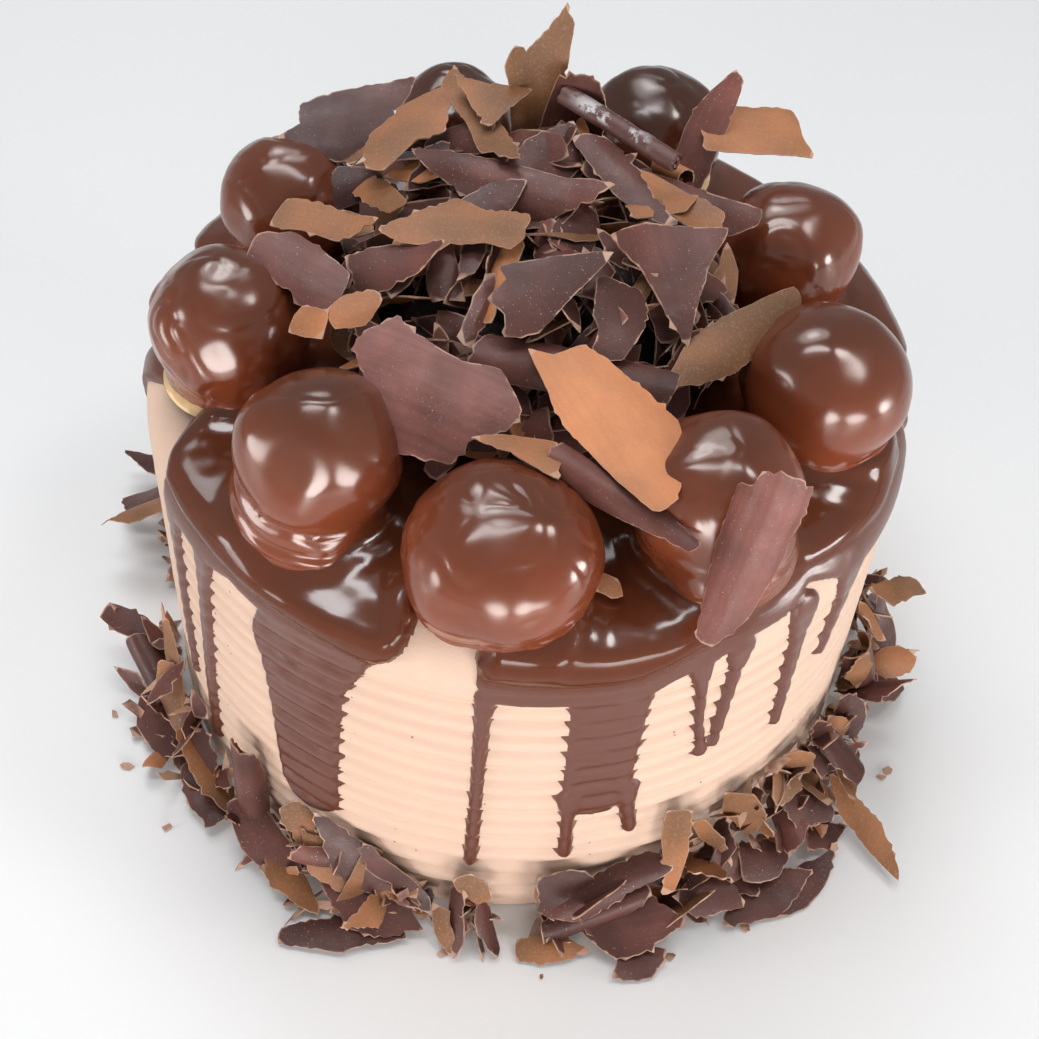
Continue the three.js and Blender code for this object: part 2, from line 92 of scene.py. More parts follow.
# Lower edge of the thin sheet that runs on below it.
THIN_EDGE = [
    (186, 84), (205, 84), (208.5, 99), (210.5, 112), (212.5, 116), (214.5, 110), (217, 108), (220.8, 110),
    (223.7, 108.5), (228, 106), (234, 108), (238, 112), (246, 113), (251, 110), (254, 105), (256, 98),
    (257.2, 84), (265.4, 84), (266, 102), (266.8, 112.5), (272, 113), (279, 112.8), (289, 113), (292, 110),
    (294.2, 108), (299, 106), (304.3, 103.6), (311, 103.4), (314, 101), (316, 99.5), (319, 102), (323, 106),
    (328, 108), (336, 110), (342, 108), (350, 104), (354, 96),
]
# Lobes of ganache round the rest of the rim: middle angle, half its width in degrees, reach of its edge.
BACK_LOBES = [(18, 16, 108), (62, 18, 106), (106, 16, 110), (148, 17, 107)]
THIN_BEYOND = 4.0
# Outline of such a lobe: share of half its width, and share of its reach past the pool's edge.
LOBE_SHAPE = [(-1, 0), (-0.82, 0.55), (-0.5, 0.95), (0.05, 1.04), (0.5, 0.97), (0.84, 0.5), (1, 0)]
# Edge of the pool between the lobes, and the degrees between two points of an edge.
POOL_EDGE = 88
EDGE_STEP = 0.4
# How far the thick ganache fills out its shoulder: angle and share.
FULLNESS = [(0, 0.6), (185, 0.6), (203, 1), (296, 1), (308, 0.3), (345, 0.3), (360, 0.6)]
SHOULDER_ROUND = 7.0
# Where the thick ganache slopes off before its shoulder: angle, share, and the distance where it begins.
SLOPED = [
    (0, 0, 89), (229, 0, 89), (236, 1, 89), (253, 1, 89), (258, 0, 89), (266, 0, 95), (272, 1, 95),
    (291, 1, 95), (298, 0, 95), (360, 0, 89),
]
SLOPE_TILT = math.radians(18)
SLOPE_BLEND = 1.2
# How far the ganache follows the comb's ridges: angle and share.
RIDGE_SHARE = [(270, 1.0), (276, 0.5), (294, 0.5), (300, 1.0)]
# Width of the rounded border of a lobe and of a drip, and the depth over which they flow together.
LOBE_BORDER = 3.6
DRIP_BORDER = 2.0
FLOW_BLEND = 0.5
# A lobe's lip: its distance inside the border and its width.
LIP_INSIDE = 7
LIP_WIDTH = 3
# A drip with a larger half width than this is broad, and its borders step with the comb's ridges.
BROAD_HALF = 6
BROAD_STEPS = {"near": 0.4, "far": 0.9}
NARROW_STEPS = 0.17
# Depth of a broad and of a narrow drip, as shares of the drip depth.
BROAD_DEPTH = 0.85
NARROW_DEPTH = 1.15
# Mesh of the ganache: its steps round the cake, the degrees by which they crowd to the front, the depth
# below which the cake is bare, and how far the underside lies in the frosting.
GANACHE_STEPS = 560
CROWDING = 20
BARE_BELOW = -1.1
UNDERSIDE = 2.4
# Slow swells of the pool: height, length and a level of the noise.
POOL_SWELLS = [(0.55, 16, 3), (0.22, 6, 8)]
# Rise of the pool at the foot of a profiterole, the distance over which it falls off, and its limit.
FOOT_RISE = 5.0
FOOT_FALL = 4.2
RISE_LIMIT = 9.5
RISE_REACH = 25
# Height and length of the ripples there.
RIPPLE_HEIGHT = 0.3
RIPPLE_LENGTH = 5
# Drips: angle, height and half width at each point of the run, from the rim down.
DRIPS = [
    [(189, 114.9, 9), (185, 108, 5), (184, 92, 3.2), (184, 62, 2.4), (184, 44, 2.2)],
    [(212.4, 100, 4), (211.8, 88, 2.4), (211.4, 60, 2.0), (211, 34, 1.9)],
    [(221.5, 100, 4), (220.5, 90, 2.7), (218.5, 55, 2.5), (216.5, 15, 2.3)],
    [(243, 103, 15), (240, 90, 14.5), (240, 80, 12.5), (240, 62, 11), (240, 44, 10), (240.3, 33, 9.5)],
    [(267.6, 98, 3.0), (267.3, 90, 1.9), (267, 60, 1.6), (266.8, 40, 1.7), (266.6, 23, 1.8)],
    [(284.6, 98, 10.5), (284.6, 88, 9.4), (284.4, 55, 8.9)],
    [(280.4, 56, 3.6), (280.6, 46, 1.8), (280.7, 38, 1.6), (280.7, 28, 1.9)],
    [(288.9, 56, 3.6), (289.4, 47, 2.1), (289.9, 42, 1.9), (290.4, 36, 2.0)],
    [(297, 102, 3.5), (297.8, 92, 1.6), (298.8, 76, 1.3), (299.8, 66, 1.5), (300, 63, 2.3)],
    [(303.2, 103, 4), (303, 94, 2.1), (302.4, 76, 1.9), (302, 65, 1.8)],
    [(314.5, 104, 5), (314.5, 92, 2.8), (314.6, 70, 2.2), (314.6, 57, 1.8)],
    [(325.5, 104, 6), (325, 95, 3.6), (323.5, 84, 2.6), (322.5, 75, 1.8)],
    [(2, 106, 12), (2, 92, 7.5), (2, 70, 7), (2, 56, 6.5)],
    [(52, 104, 13), (52, 90, 9), (52, 66, 8.4), (52, 52, 8)],
    [(101, 100, 12), (101, 88, 8), (101, 60, 7.6), (101, 41, 7)],
    [(152, 102, 14), (152, 90, 10), (152, 68, 9.2), (152, 57, 9)],
    [(163, 104, 5), (163, 90, 2.6), (163, 55, 2.4), (163, 28, 2.4)],
]

# Profiteroles: place, largest radius, squash of its height, height of its middle over the crown's floor,
# the side where the bare choux shows and how high it shows.
CROWN_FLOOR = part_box("shard_heap")[0].z / MM
Profiterole = namedtuple("Profiterole", "x y radius squash middle side bare")
PROFITEROLES = [
    Profiterole(-74, -19, 20.0, 1.0, 14.6, 222, 0.5),
    Profiterole(-46.5, -60.5, 19.8, 1.02, 16.8, 50, 0),
    Profiterole(-3, -84, 23.4, 0.77, 13.8, 90, 0),
    Profiterole(45, -64, 20.0, 1.0, 14.9, 120, 0),
    Profiterole(72, -26, 20.5, 1.0, 15.3, 130, 4),
    Profiterole(66, 27, 18.8, 0.97, 13.8, 140, 4),
    Profiterole(30, 70, 19.6, 1.0, 15.1, 330, 5),
    Profiterole(-26, 70, 17.5, 1.0, 12.6, 110, 4),
    Profiterole(-66, 30, 18.3, 1.0, 14.7, 160, 3),
]
# Depth of each one's creases, wrinkles and folds, the first two as a share of its radius.
CREASES = [0.014, 0.0, 0.012, 0.006, 0.0, 0.008, 0.006, 0.006, 0.01]
WRINKLES = [0.035, 0.0, 0.02, 0.015, 0.0, 0.01, 0.02, 0.015, 0.03]
FOLDS = [0.2, 0.1, 0.15, 0.2, 0.3, 0.3, 0.2, 0.2, 0.3]
# Skirts of gathered chocolate: profiterole, the side it lies on, and how far it reaches past the ball.
SKIRTS = {1: (222, 1.7), 3: (320, 1.2)}
# Heights of a skirt's tiers, how far they slant, and how far inside the ball's radius the upper one starts.
SKIRT_TIERS = (9.5, 4.5)
SKIRT_SLANT = 3.2
SKIRT_START = 1.2
# Dents of a profiterole: how many, their depth and width as shares of its radius, and how high they lie.
DENTS = 7
DENT_DEPTH = (-0.035, 0.055)
DENT_WIDTH = (0.28, 0.5)
DENT_RISE = (-0.2, 0.95)
# Heights over the crown's floor between which a coat turns from its low colour to its own.
LOW_COAT = (18, 37)
# Painted shade: the coats darken between these distances towards the back.
SHADED_BACK = (47, 55)
COAT_DEPTH = 2.0
# Cosines of the turn from the bare side between which the choux comes into sight.
BARE_FACING = (0.4, 0.7)
# A step under the cap of a ball: profiterole, the cap's direction, its size as a cosine, and its depth.
LEDGES = {1: ((-0.1, 0.55, 0.83), 0.72, 0.035), 2: ((0.35, 0.5, 0.8), 0.8, 0.02)}

# Faces of a shard, and the places of its three finishes among its materials.
DARK = "dark"
MILK = "milk"
DARK_FACE, MILK_FACE, BROKEN_EDGE = range(3)
# Shards of the heap. Ends of the middle line, roll about it, curl across it, arch along it, the face
# that is up, its tint, and the outline in millimetres along and across that line.
HEAP_SHARDS = [
    ((-38, -40, 151), (-2, -56, 150), 20, 40, 14, DARK, 0.9,
     [(-22, -1), (-21, 4), (-17, 10), (-9, 7), (3, 5), (12, 7), (21, 0), (20, -6), (14, -11), (12, -18),
      (2, -20), (-7, -22), (-7, -14), (-16, -8)]),
    ((7, -38, 154), (32, -78, 146), 8, 35, 15, MILK, 1.0,
     [(-27, -7), (-22, -3), (-21, 5), (-10, 9), (6, 14), (15, 10), (25, 2), (25, -4), (-3, -10),
      (-13, -9)]),
    ((-8, -64, 149), (38, -83, 142), -4, 20, 5, MILK, 0.4,
     [(-28, -2), (-20, 4), (-11, 8), (-6, -3), (-17, -2)]),
    ((7, -66, 148), (39, -85, 141), 10, 270, 6, DARK, 0.5,
     [(-19, -9), (-18, 10), (-8, 8), (3, 5), (12, 3), (20, 0.5), (19, -2), (9, -4), (-3, -7)]),
    ((32, -41, 145), (65, -8, 148), 25, 70, 20, MILK, 0.0,
     [(-23, 0), (-10, 6), (3, 6), (23, 2), (22, -2), (11, -6), (-5, -7), (-16, -4)]),
    ((30, -3, 161), (38, -29, 148), 0, -55, 14, DARK, 0.24,
     [(-13, -15), (-17, -4), (-11, 15), (-4, 9), (5, 4), (16, -1), (6, -5), (-5, -9)]),
    ((-9, -31, 159), (17, -17, 161), 20, 35, 14, DARK, 0.0,
     [(-16, 1), (-10, 4), (-10, 8), (0, 6), (16, 1), (2, -6), (-8, -11), (-16, -9), (-14, -4)]),
    ((14, -24, 158), (26, -38, 150), 0, 40, 25, DARK, 0.12,
     [(-13, 4), (-6, 12), (0, 10), (4, 5), (8, -4), (4, -10), (-1, -5), (-6, -3)]),
    ((-33, 22, 159), (17, 2, 163), 20, 95, 18, DARK, 0.32,
     [(-29, 2), (-7, 4), (20, 4), (26, 3), (18, -4), (10, -10), (-4, -10), (-22, -3)]),
    ((-38, -7, 156), (-1, -11, 161), 15, 30, -10, MILK, 0.25,
     [(-19, 0), (-9, 8), (-2, 13), (6, 8), (17, 6), (17, -1), (14, -4), (7, -2), (-5, -3), (-13, -3)]),
    ((-67, 3, 151), (-35, -6, 154), 15, 20, 8, MILK, 0.3,
     [(-15, -3), (-14, 6), (-6, 7), (4, 4), (12, 3), (4, -4), (-5, -3)]),
    ((-70, -9, 154), (-43, -23, 148), 20, 60, 20, DARK, 0.6,
     [(-13, -4), (-14, 2), (-7, 8), (1, 8), (11, 5), (13, -2), (11, -6), (4, -8), (2, -6), (-8, -6)]),
    ((-46, -12, 151), (-18, -15, 158), 20, 60, 5, DARK, 0.35,
     [(-16, -9), (-12, -6), (-15, 1), (-4, 4), (11, 2), (7, -2), (-3, -8)]),
    ((-43, 19, 155), (-26, 55, 159), -10, 25, 8, MILK, 0.3,
     [(-20, 2), (-14, 6), (-7, 8), (7, 5), (16, 0), (12, -4), (0, -10), (-7, -5), (-19, -3)]),
    ((-27, 55, 159), (-6, 15, 162), 10, 20, 12, MILK, 0.12,
     [(-28, 4), (-21, 4), (-7, 3), (8, 3), (25, 0), (13, -6), (-1, -4), (-9, -4), (-20, -3)]),
    ((-24, 47, 164), (-5, 42, 164), 0, 20, 8, MILK, 0.2,
     [(-11, 1), (-2, 0), (10, 2), (8, -5), (4, -15), (-2, -10)]),
    ((-68, 37, 152), (-28, 57, 156), 15, 35, 10, DARK, 0.14,
     [(-25, -2), (-18, 0), (-16, 6), (-9, 7), (10, 4), (15, 2), (11, -3), (-3, -11), (-11, -14),
      (-19, -10)]),
    ((0, 44, 142), (-1, 51, 184), 10, 35, 12, DARK, 0.05,
     [(7, -12), (12, -9), (10, -6), (17, 1), (21, 4), (16, 6), (5, 5), (-20, 4), (-20, -8), (3, -11)]),
    ((4, 42, 140), (8, 44, 170), 0, 40, 10, MILK, 0.15, [(-16, -8), (-14, 8), (8, 9), (16, 3), (12, -6)]),
    ((7, 28, 163), (34, -1, 157), 15, 80, 8, DARK, 0.28,
     [(-20, -1), (-14, 8), (-7, 7), (19, 0), (15, -2), (0, -4)]),
    ((19, 20, 159), (57, 17, 151), 15, 100, 15, DARK, 0.42,
     [(-21, 2), (-13, 3), (5, 1), (18, 1), (18, -3), (12, -8), (3, -9), (-8, -7)]),
    ((35, 28, 143), (49, 51, 171), 20, 60, 10, DARK, 0.6,
     [(14, 3), (18, 1), (16, -2), (9, -3), (-5, -4), (-18, -4), (-18, 4), (-1, 7), (7, 6)]),
    ((41, 38, 157), (69, 41, 156), 20, 30, 6, MILK, 0.45,
     [(-14, 11), (10, 12), (12, 2), (14, -4), (-14, -3)]),
    ((-15, -38, 150), (35, -43, 147), 20, 120, 5, DARK, 0.3,
     [(-24, -6), (-20, 7), (10, 6), (25, 4), (22, -7), (0, -7)]),
    ((-47, -33, 150), (-36, -27, 152), 25, 40, 20, MILK, 0.55,
     [(-6, -2), (-6, 3), (-1, 5), (5, 4), (7, 0), (1, -4)]),
    ((-57, -30, 147), (-47, -34, 149), 30, 40, 10, MILK, 0.6, [(-5, -3), (-4, 4), (4, 4), (5, -3)]),
    ((-22, -2, 156), (-4, 10, 160), 20, 40, 10, DARK, 0.1, [(-11, -4), (-9, 4), (4, 5), (11, 0), (2, -5)]),
    ((21, 4, 160), (40, 14, 158), -15, 60, 10, MILK, 0.4, [(-10, -4), (-9, 4), (3, 5), (10, 1), (3, -5)]),
    ((-5, 10, 160), (8, 32, 161), 20, 50, 15, DARK, 0.2, [(-13, -7), (-12, 6), (2, 8), (13, 2), (5, -7)]),
    ((18, 22, 159), (42, 2, 156), -12, -50, 8, MILK, 0.35,
     [(-16, 1), (-8, 5), (4, 6), (14, 7), (17, 1), (12, -5), (2, -5), (-8, -3)]),
    ((29, 35, 153), (36, 26, 156), 0, 330, 0, MILK, 0.5, [(-5, -7), (-5, 7), (6, 6), (5, -7)]),
    ((18, -82, 123), (25, -85, 121), 10, 20, 5, MILK, 0.3, [(-4, -2), (-3, 2), (1, 3), (4, 0), (2, -2)]),
    ((-50, 30, 143), (-34, 8, 152), 20, 30, 10, MILK, 0.3,
     [(-13, -3), (-12, 3), (0, 4), (13, 2), (12, -3), (1, -4)]),
    ((-52, 32, 147), (-42, 50, 151), -25, 40, 10, MILK, 0.25,
     [(-11, -4), (-9, 5), (2, 6), (11, 2), (7, -5)]),
    ((-62, 20, 141), (-40, 27, 147), 35, 50, 10, DARK, 0.1,
     [(-11, -5), (-10, 4), (2, 6), (11, 2), (9, -4)]),
    ((-42, 37, 146), (-22, 26, 157), -20, 60, 10, DARK, 0.15,
     [(-12, -5), (-10, 6), (3, 6), (12, 3), (9, -5)]),
    ((-32, 34, 150), (-12, 30, 161), 20, 50, 10, DARK, 0.2,
     [(-11, -5), (-10, 5), (2, 6), (11, 1), (8, -5)]),
    ((-14, 37, 150), (8, 27, 163), 25, 70, 10, DARK, 0.2, [(-13, -5), (-11, 5), (2, 6), (13, 2), (9, -5)]),
    ((-53, 10, 147), (-40, -2, 151), 10, 30, 10, MILK, 0.2, [(-8, -3), (-7, 3), (1, 4), (8, 1), (5, -3)]),
]
# The bloomed roll: both ends of its axis, then its outer radius, turns and the steps of its mesh.
ROLL = ((4, 43, 164), (33, 23, 160))
ROLL_RADIUS = 3.1
ROLL_TURNS = 2.2
ROLL_START = math.radians(120)
ROLL_THICKNESS = 0.7
ROLL_STEPS = 80
ROLL_ROUNDS = 24
# The big curl that leans on a profiterole, with the values of a row of HEAP_SHARDS.
LEANING_CURL = (
    (45, -99, 116), (54, -87, 155), -38, 125, 6, DARK, 0.8,
    [(-16, 1), (-16, 5), (-2, 9), (10, 11), (21, 12), (24, 7), (28, 6), (30, -2), (27, -6), (10, -6),
     (-6, -4)],
)

# Shards at the foot that show: angle, distance and height of both ends, width, roll, curl, face up.
FOOT_SHARDS = [
    (191, 122, 19, 197, 105, 14, 8, 20, 25, DARK),
    (196, 114, 20, 208, 108, 11, 17, 20, 230, DARK),
    (202, 114, 6, 217, 112, 8, 14, 25, 30, DARK),
    (197, 105, 34, 211, 106, 13, 7, 60, 20, MILK),
    (204, 108, 24, 213, 107, 9, 9, 40, 30, MILK),
    (211, 106, 22, 223, 110, 5, 10, 30, 40, DARK),
    (214, 108, 17, 226, 109, 3, 8, -20, 30, MILK),
    (217, 112, 7, 227, 113, 2, 9, 10, 25, DARK),
    (229, 108, 40, 232, 111, 1, 22, 0, 290, DARK),
    (244, 127, 2.5, 259, 114, 3, 11, 0, 30, DARK),
    (229, 109, 17, 242, 115, 3, 12, 20, 30, DARK),
    (236, 112, 8, 247, 117, 2, 9, -10, 25, MILK),
    (241, 109, 22, 253, 109, 8, 11, 35, 30, MILK),
    (242, 106, 28, 256, 108, 9, 12, 50, 20, DARK),
    (246, 112, 10, 261, 113, 3, 15, 15, 20, DARK),
    (250, 106, 24, 262, 106, 5, 6, 60, 20, DARK),
    (238, 105, 27, 243, 106, 18, 8, 30, 20, MILK),
    (265, 105, 17, 266, 117, 1, 7, 50, 30, DARK),
    (266, 105, 23, 269, 107, 14, 8, 60, 25, MILK),
    (268.5, 105, 14, 271, 116, 1, 8, -40, 40, DARK),
    (263, 108, 12, 265, 117, 1, 6, 40, 20, MILK),
    (276, 106, 23, 285, 108, 12, 15, 55, 30, DARK),
    (277, 110, 13, 296, 106, 24, 12, 30, 120, DARK),
    (277, 113, 8, 293, 110, 15, 17, 35, 290, DARK),
    (282, 112, 8, 297, 114, 9, 20, 20, 30, DARK),
    (274, 114, 3, 284, 116, 3, 9, 15, 40, MILK),
    (286, 121, 3, 293, 124, 1, 9, 5, 25, DARK),
    (297, 104.5, 44, 296, 108, 12, 8, 20, 20, MILK),
    (300, 105, 37, 306, 108, 14, 5, 20, 15, MILK),
    (306, 105, 42, 311, 109, 16, 11, 30, 25, MILK),
    (303, 108, 22, 309, 113, 8, 10, 25, 60, DARK),
    (307, 112, 14, 316, 117, 6, 12, 20, 40, DARK),
    (296, 112, 12, 306, 116, 6, 12, 25, 70, DARK),
    (302, 121, 3, 317, 121, 3, 13, 6, 35, DARK),
    (309, 126, 1.5, 322, 122, 2, 9, 4, 30, DARK),
    (328, 110, 12, 324, 142, 3, 8, 25, 60, MILK),
    (314, 106, 33, 319, 108, 22, 10, 40, 40, MILK),
    (318, 105, 40, 322, 107, 27, 9, 30, 30, MILK),
    (316, 109, 22, 325, 115, 8, 12, 25, 60, DARK),
    (322, 107, 31, 330, 108, 14, 10, 30, 60, DARK),
    (325, 105, 42, 329, 107, 20, 7, 35, 30, DARK),
    (329, 105, 35, 334, 109, 14, 9, 30, 30, MILK),
    (318, 117, 5, 326, 119, 2, 9, 10, 30, DARK),
    (339, 107, 44, 346, 112, 4, 20, 20, 250, DARK),
    (334, 106, 36, 338, 112, 6, 10, 30, 40, DARK),
    (336, 105, 48, 341, 108, 24, 8, 40, 30, MILK),
    (350, 105, 46, 358, 122, 36, 9, 20, 40, MILK),
    (352, 106, 42, 355, 115, 7, 13, 25, 60, DARK),
    (346, 112, 14, 352, 120, 4, 12, 15, 40, DARK),
    (359, 106, 26, 361, 118, 3, 14, 10, 40, DARK),
    (171, 106, 26, 174, 129, 15, 14, 25, 30, MILK),
    (164, 106, 22, 168, 130, 7, 12, 20, 30, DARK),
    (159, 107, 15, 161, 136, 8, 11, 25, 25, DARK),
]
# Stretches of the foot that are heaped with scraps: first and last angle, height, number of larger ones.
FOOT_BANKS = [
    (190, 224, 30, 6), (228, 261, 24, 6), (264, 270, 16, 0), (277, 301, 28, 8), (298, 336, 44, 18),
    (337, 363, 50, 10), (20, 58, 30, 14), (72, 114, 28, 16), (128, 178, 28, 16),
]
FOOT_NODES = [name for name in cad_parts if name.startswith("shard_cluster_")]

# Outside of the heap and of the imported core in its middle: radius and height. The core's outline has a
# point at each share of its radius, and lumps.
HEAP_RADIUS = 53
HEAP_RISE = 43
CORE_RADIUS = 41
CORE_RISE = 28
CORE_STEPS = 64
CORE_SPREAD = 46
CORE_LUMP = 1.6
CORE_SHARES = [1.0, 0.97, 0.9, 0.8, 0.68, 0.55, 0.4, 0.25, 0.12, 0]
# Scraps of the heap: how far from the axis, how deep under its outside, and how high at its sides. From
# this distance towards the back the shallow ones lie higher.
SCRAP_REACH = 50
SIDE_DISTANCE = (37, 50)
SIDE_HEIGHT = (2, 24)
DEEP = (7, 17)
SHALLOW = (4, 12)
SHALLOW_BACK = (-1, 4)
BACK_FROM = 22
# Scraps of the foot: their gap to the cake, the width of their bank, and the share with the milk face up.
BANK_GAP = 2.5
BANK_WIDTH = 15
BANK_MILK = 0.34
# Least and most length of a scrap, then least and most width.
HEAP_SCRAP = ((12, 28), (6, 13))
FOOT_SCRAP = ((7, 17), (3, 7))
LARGE_SCRAP = ((15, 28), (6, 13))
# Steps of a plate's mesh round its broken edge, along it and across it.
PLATE_STEPS = (1.3, 3.2, 2.6)
CURL_STEPS = (1.3, 3.2, 1.5)
SMALL_STEPS = (2.4, 5.0, 3.0)
TIGHT_CURL = 100
# Share of the sides that are torn. A torn or clean side's roughness, and its chance of a nick at each step.
TORN_SHARE = 0.55
TORN = (0.28, 0.14)
CLEAN = (0.06, 0.04)
NICK = (-1.1, 0.5)
BOW = 0.35
# Edges of a shard that are sharper than this, in degrees, aren't smoothed.
SHARP = 40
# Seeds of the random draws; a plural is the first of a run.
HEAP_SEED = 17
BANK_SEED = 29
CRUMB_SEED = 41
CURL_SEED = 90
HEAP_SHARD_SEEDS = 100
DENT_SEEDS = 260
HEAP_SCRAP_SEEDS = 300
FOOT_SHARD_SEEDS = 500
FOOT_SCRAP_SEEDS = 700
CRUMB_SEEDS = 900

# Stage, in metres. Lamps: name, place, size, share of the lamp power and colour.
FLOOR_SIZE = 12.0
LAMP_TARGET = (0, 0, 0.1)
WHITE = (1, 1, 1)
PALE_BLUE = (0.94, 0.97, 1.0)
LAMPS = [
    ("panel_back", (-0.2, 0.66, 1.2), (1.1, 0.7), 1.5, PALE_BLUE),
    ("panel_back_core", (-0.2, 0.64, 1.17), (0.45, 0.3), 0.5, PALE_BLUE),
    ("ceiling_strip", (-0.2, 0.0, 1.35), (0.24, 1.0), 1.4, (0.92, 0.96, 1.0)),
    ("panel_right", (0.6, 0.0, 1.25), (0.3, 0.3), 0.7, WHITE),
    ("low_right", (0.42, -0.75, 0.16), (0.4, 0.28), 0.85, WHITE),
    ("low_front", (-0.1, -0.9, 0.16), (0.4, 0.28), 0.95, WHITE),
    ("low_left", (-0.95, -0.4, 0.24), (0.45, 0.4), 1.0, WHITE),
    ("low_side", (1.0, -0.25, 0.2), (0.3, 0.3), 0.9, WHITE),
]
# Tint of the room behind and overhead, and low down in front.
BACK_TINT = (0.95, 0.975, 1.0)
FRONT_TINT = (1.0, 0.99, 0.97)

# Camera: place in millimetres, angles in degrees, lens in millimetres.
CAMERA_PLACE = (0.5, -324.4, 422.1)
CAMERA_PITCH = 49.2
CAMERA_ROLL = 4.2
CAMERA_LENS = 58.9


def smooth_share(value, low, high):
    """0 below low, 1 above high, smooth between them."""
    share = np.clip((value - low) / (high - low), 0, 1)
    return share * share * (3 - 2 * share)


def eased(value, low, high):
    """smooth_share of one number."""
    return float(smooth_share(value, low, high))


def at_angle(table, angles):
    """Values between the rows of a table of angles and values."""
    return np.interp(angles, [row[0] for row in table], [row[1] for row in table])


def scaled(colour, share):
    """A darker or lighter colour."""
    return [share * part for part in colour]


def polar(angle, distance, height):
    """A place from its angle in degrees, its distance from the axis and its height."""
    turn = math.radians(angle)
    return Vector((distance * math.cos(turn), distance * math.sin(turn), height))


def face_outwards(bm):
    """Makes the faces agree, and point outwards on a closed shape."""
    bmesh.ops.recalc_face_normals(bm, faces=bm.faces[:])


def mesh_from(bm, name):
    """A mesh from a bmesh, which is freed."""
    mesh = bpy.data.meshes.new(name)
    bm.to_mesh(mesh)
    bm.free()
    return mesh


def add_object(name, data):
    """A new object in the scene."""
    made = bpy.data.objects.new(name, data)
    bpy.context.scene.collection.objects.link(made)
    return made


def piece_from(bm, name, materials, nodes, sharp=None):
    """A finished piece at the origin from a bmesh in millimetres."""
    if not bm.faces:
        raise RuntimeError(f"{name} came out empty")
    bmesh.ops.scale(bm, vec=(MM, MM, MM), verts=bm.verts[:])
    bm.normal_update()
    mesh = mesh_from(bm, name)
    for material in materials:
        mesh.materials.append(material)
    mesh.shade_smooth()
    if sharp is not None:
        mesh.set_sharp_from_angle(angle=math.radians(sharp))
    piece = add_object(name, mesh)
    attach(piece, BODY)
    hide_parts(*nodes)
    return piece


class Nodes:
    """Short calls for the nodes of a shader tree. An input is a socket to link or a plain value."""

    def __init__(self, tree, coordinates):
        self.tree = tree
        self.place = tree.nodes.new("ShaderNodeTexCoord").outputs[coordinates]

    def link(self, source, target):
        self.tree.links.new(source, target)

    def fill(self, socket, value):
        if isinstance(value, bpy.types.NodeSocket):
            self.link(value, socket)
        else:
            socket.default_value = value

    def node(self, kind, **inputs):
        """A node with its inputs filled; an underscore stands for a space in an input's name."""
        made = self.tree.nodes.new(kind)
        for name, value in inputs.items():
            self.fill(made.inputs[name.replace("_", " ")], value)
        return made

    def parts(self):
        """The X, Y and Z of a place."""
        return self.node("ShaderNodeSeparateXYZ", Vector=self.place).outputs

    def range(self, source, low, high, new_low=0.0, new_high=1.0):
        """The source with low to high made new_low to new_high."""
        made = self.node(
            "ShaderNodeMapRange", Value=source, From_Min=low, From_Max=high, To_Min=new_low, To_Max=new_high
        )
        return made.outputs["Result"]

    def math(self, operation, first, second):
        made = self.tree.nodes.new("ShaderNodeMath")
        made.operation = operation
        self.fill(made.inputs[0], first)
        self.fill(made.inputs[1], second)
        return made.outputs["Value"]

    def mix(self, share, first, second):
        """A mix of two colours, each a socket or a plain colour."""
        made = self.tree.nodes.new("ShaderNodeMix")
        made.data_type = "RGBA"
        self.link(share, made.inputs["Factor"])
        ends = [socket for socket in made.inputs if socket.type == "RGBA"]
        for socket, colour in zip(ends, (first, second)):
            self.fill(socket, colour if isinstance(colour, bpy.types.NodeSocket) else (*colour, 1))
        return next(socket for socket in made.outputs if socket.type == "RGBA")


class Finish(Nodes):
    """A material with its principled shader."""

    def __init__(self, name, colour, roughness):
        self.material = bpy.data.materials.new(name)
        self.material.use_nodes = True
        super().__init__(self.material.node_tree, "Object")
        self.shader = self.tree.nodes["Principled BSDF"]
        self.set("Base Color", (*colour, 1))
        self.set("Roughness", roughness)

    def set(self, socket, value):
        self.shader.inputs[socket].default_value = value

    def to_shader(self, source, socket):
        self.link(source, self.shader.inputs[socket])

    def noise(self, scale, detail=2.0, roughness=0.5):
        made = self.node(
            "ShaderNodeTexNoise", Vector=self.place, Scale=scale, Detail=detail, Roughness=roughness
        )
        return made.outputs["Fac"]

    def streaks(self, attribute, scale):
        """Lines that run where an attribute stays the same."""
        made = self.node("ShaderNodeTexNoise", Scale=scale, Detail=3.0)
        made.noise_dimensions = "1D"
        self.link(self.attribute(attribute), made.inputs["W"])
        return made.outputs["Fac"]

    def attribute(self, name):
        made = self.tree.nodes.new("ShaderNodeAttribute")
        made.attribute_name = name
        return made.outputs["Fac"]

    def bump(self, height, distance, strength=1.0):
        made = self.node("ShaderNodeBump", Height=height, Strength=strength, Distance=distance)
        self.to_shader(made.outputs["Normal"], "Normal")


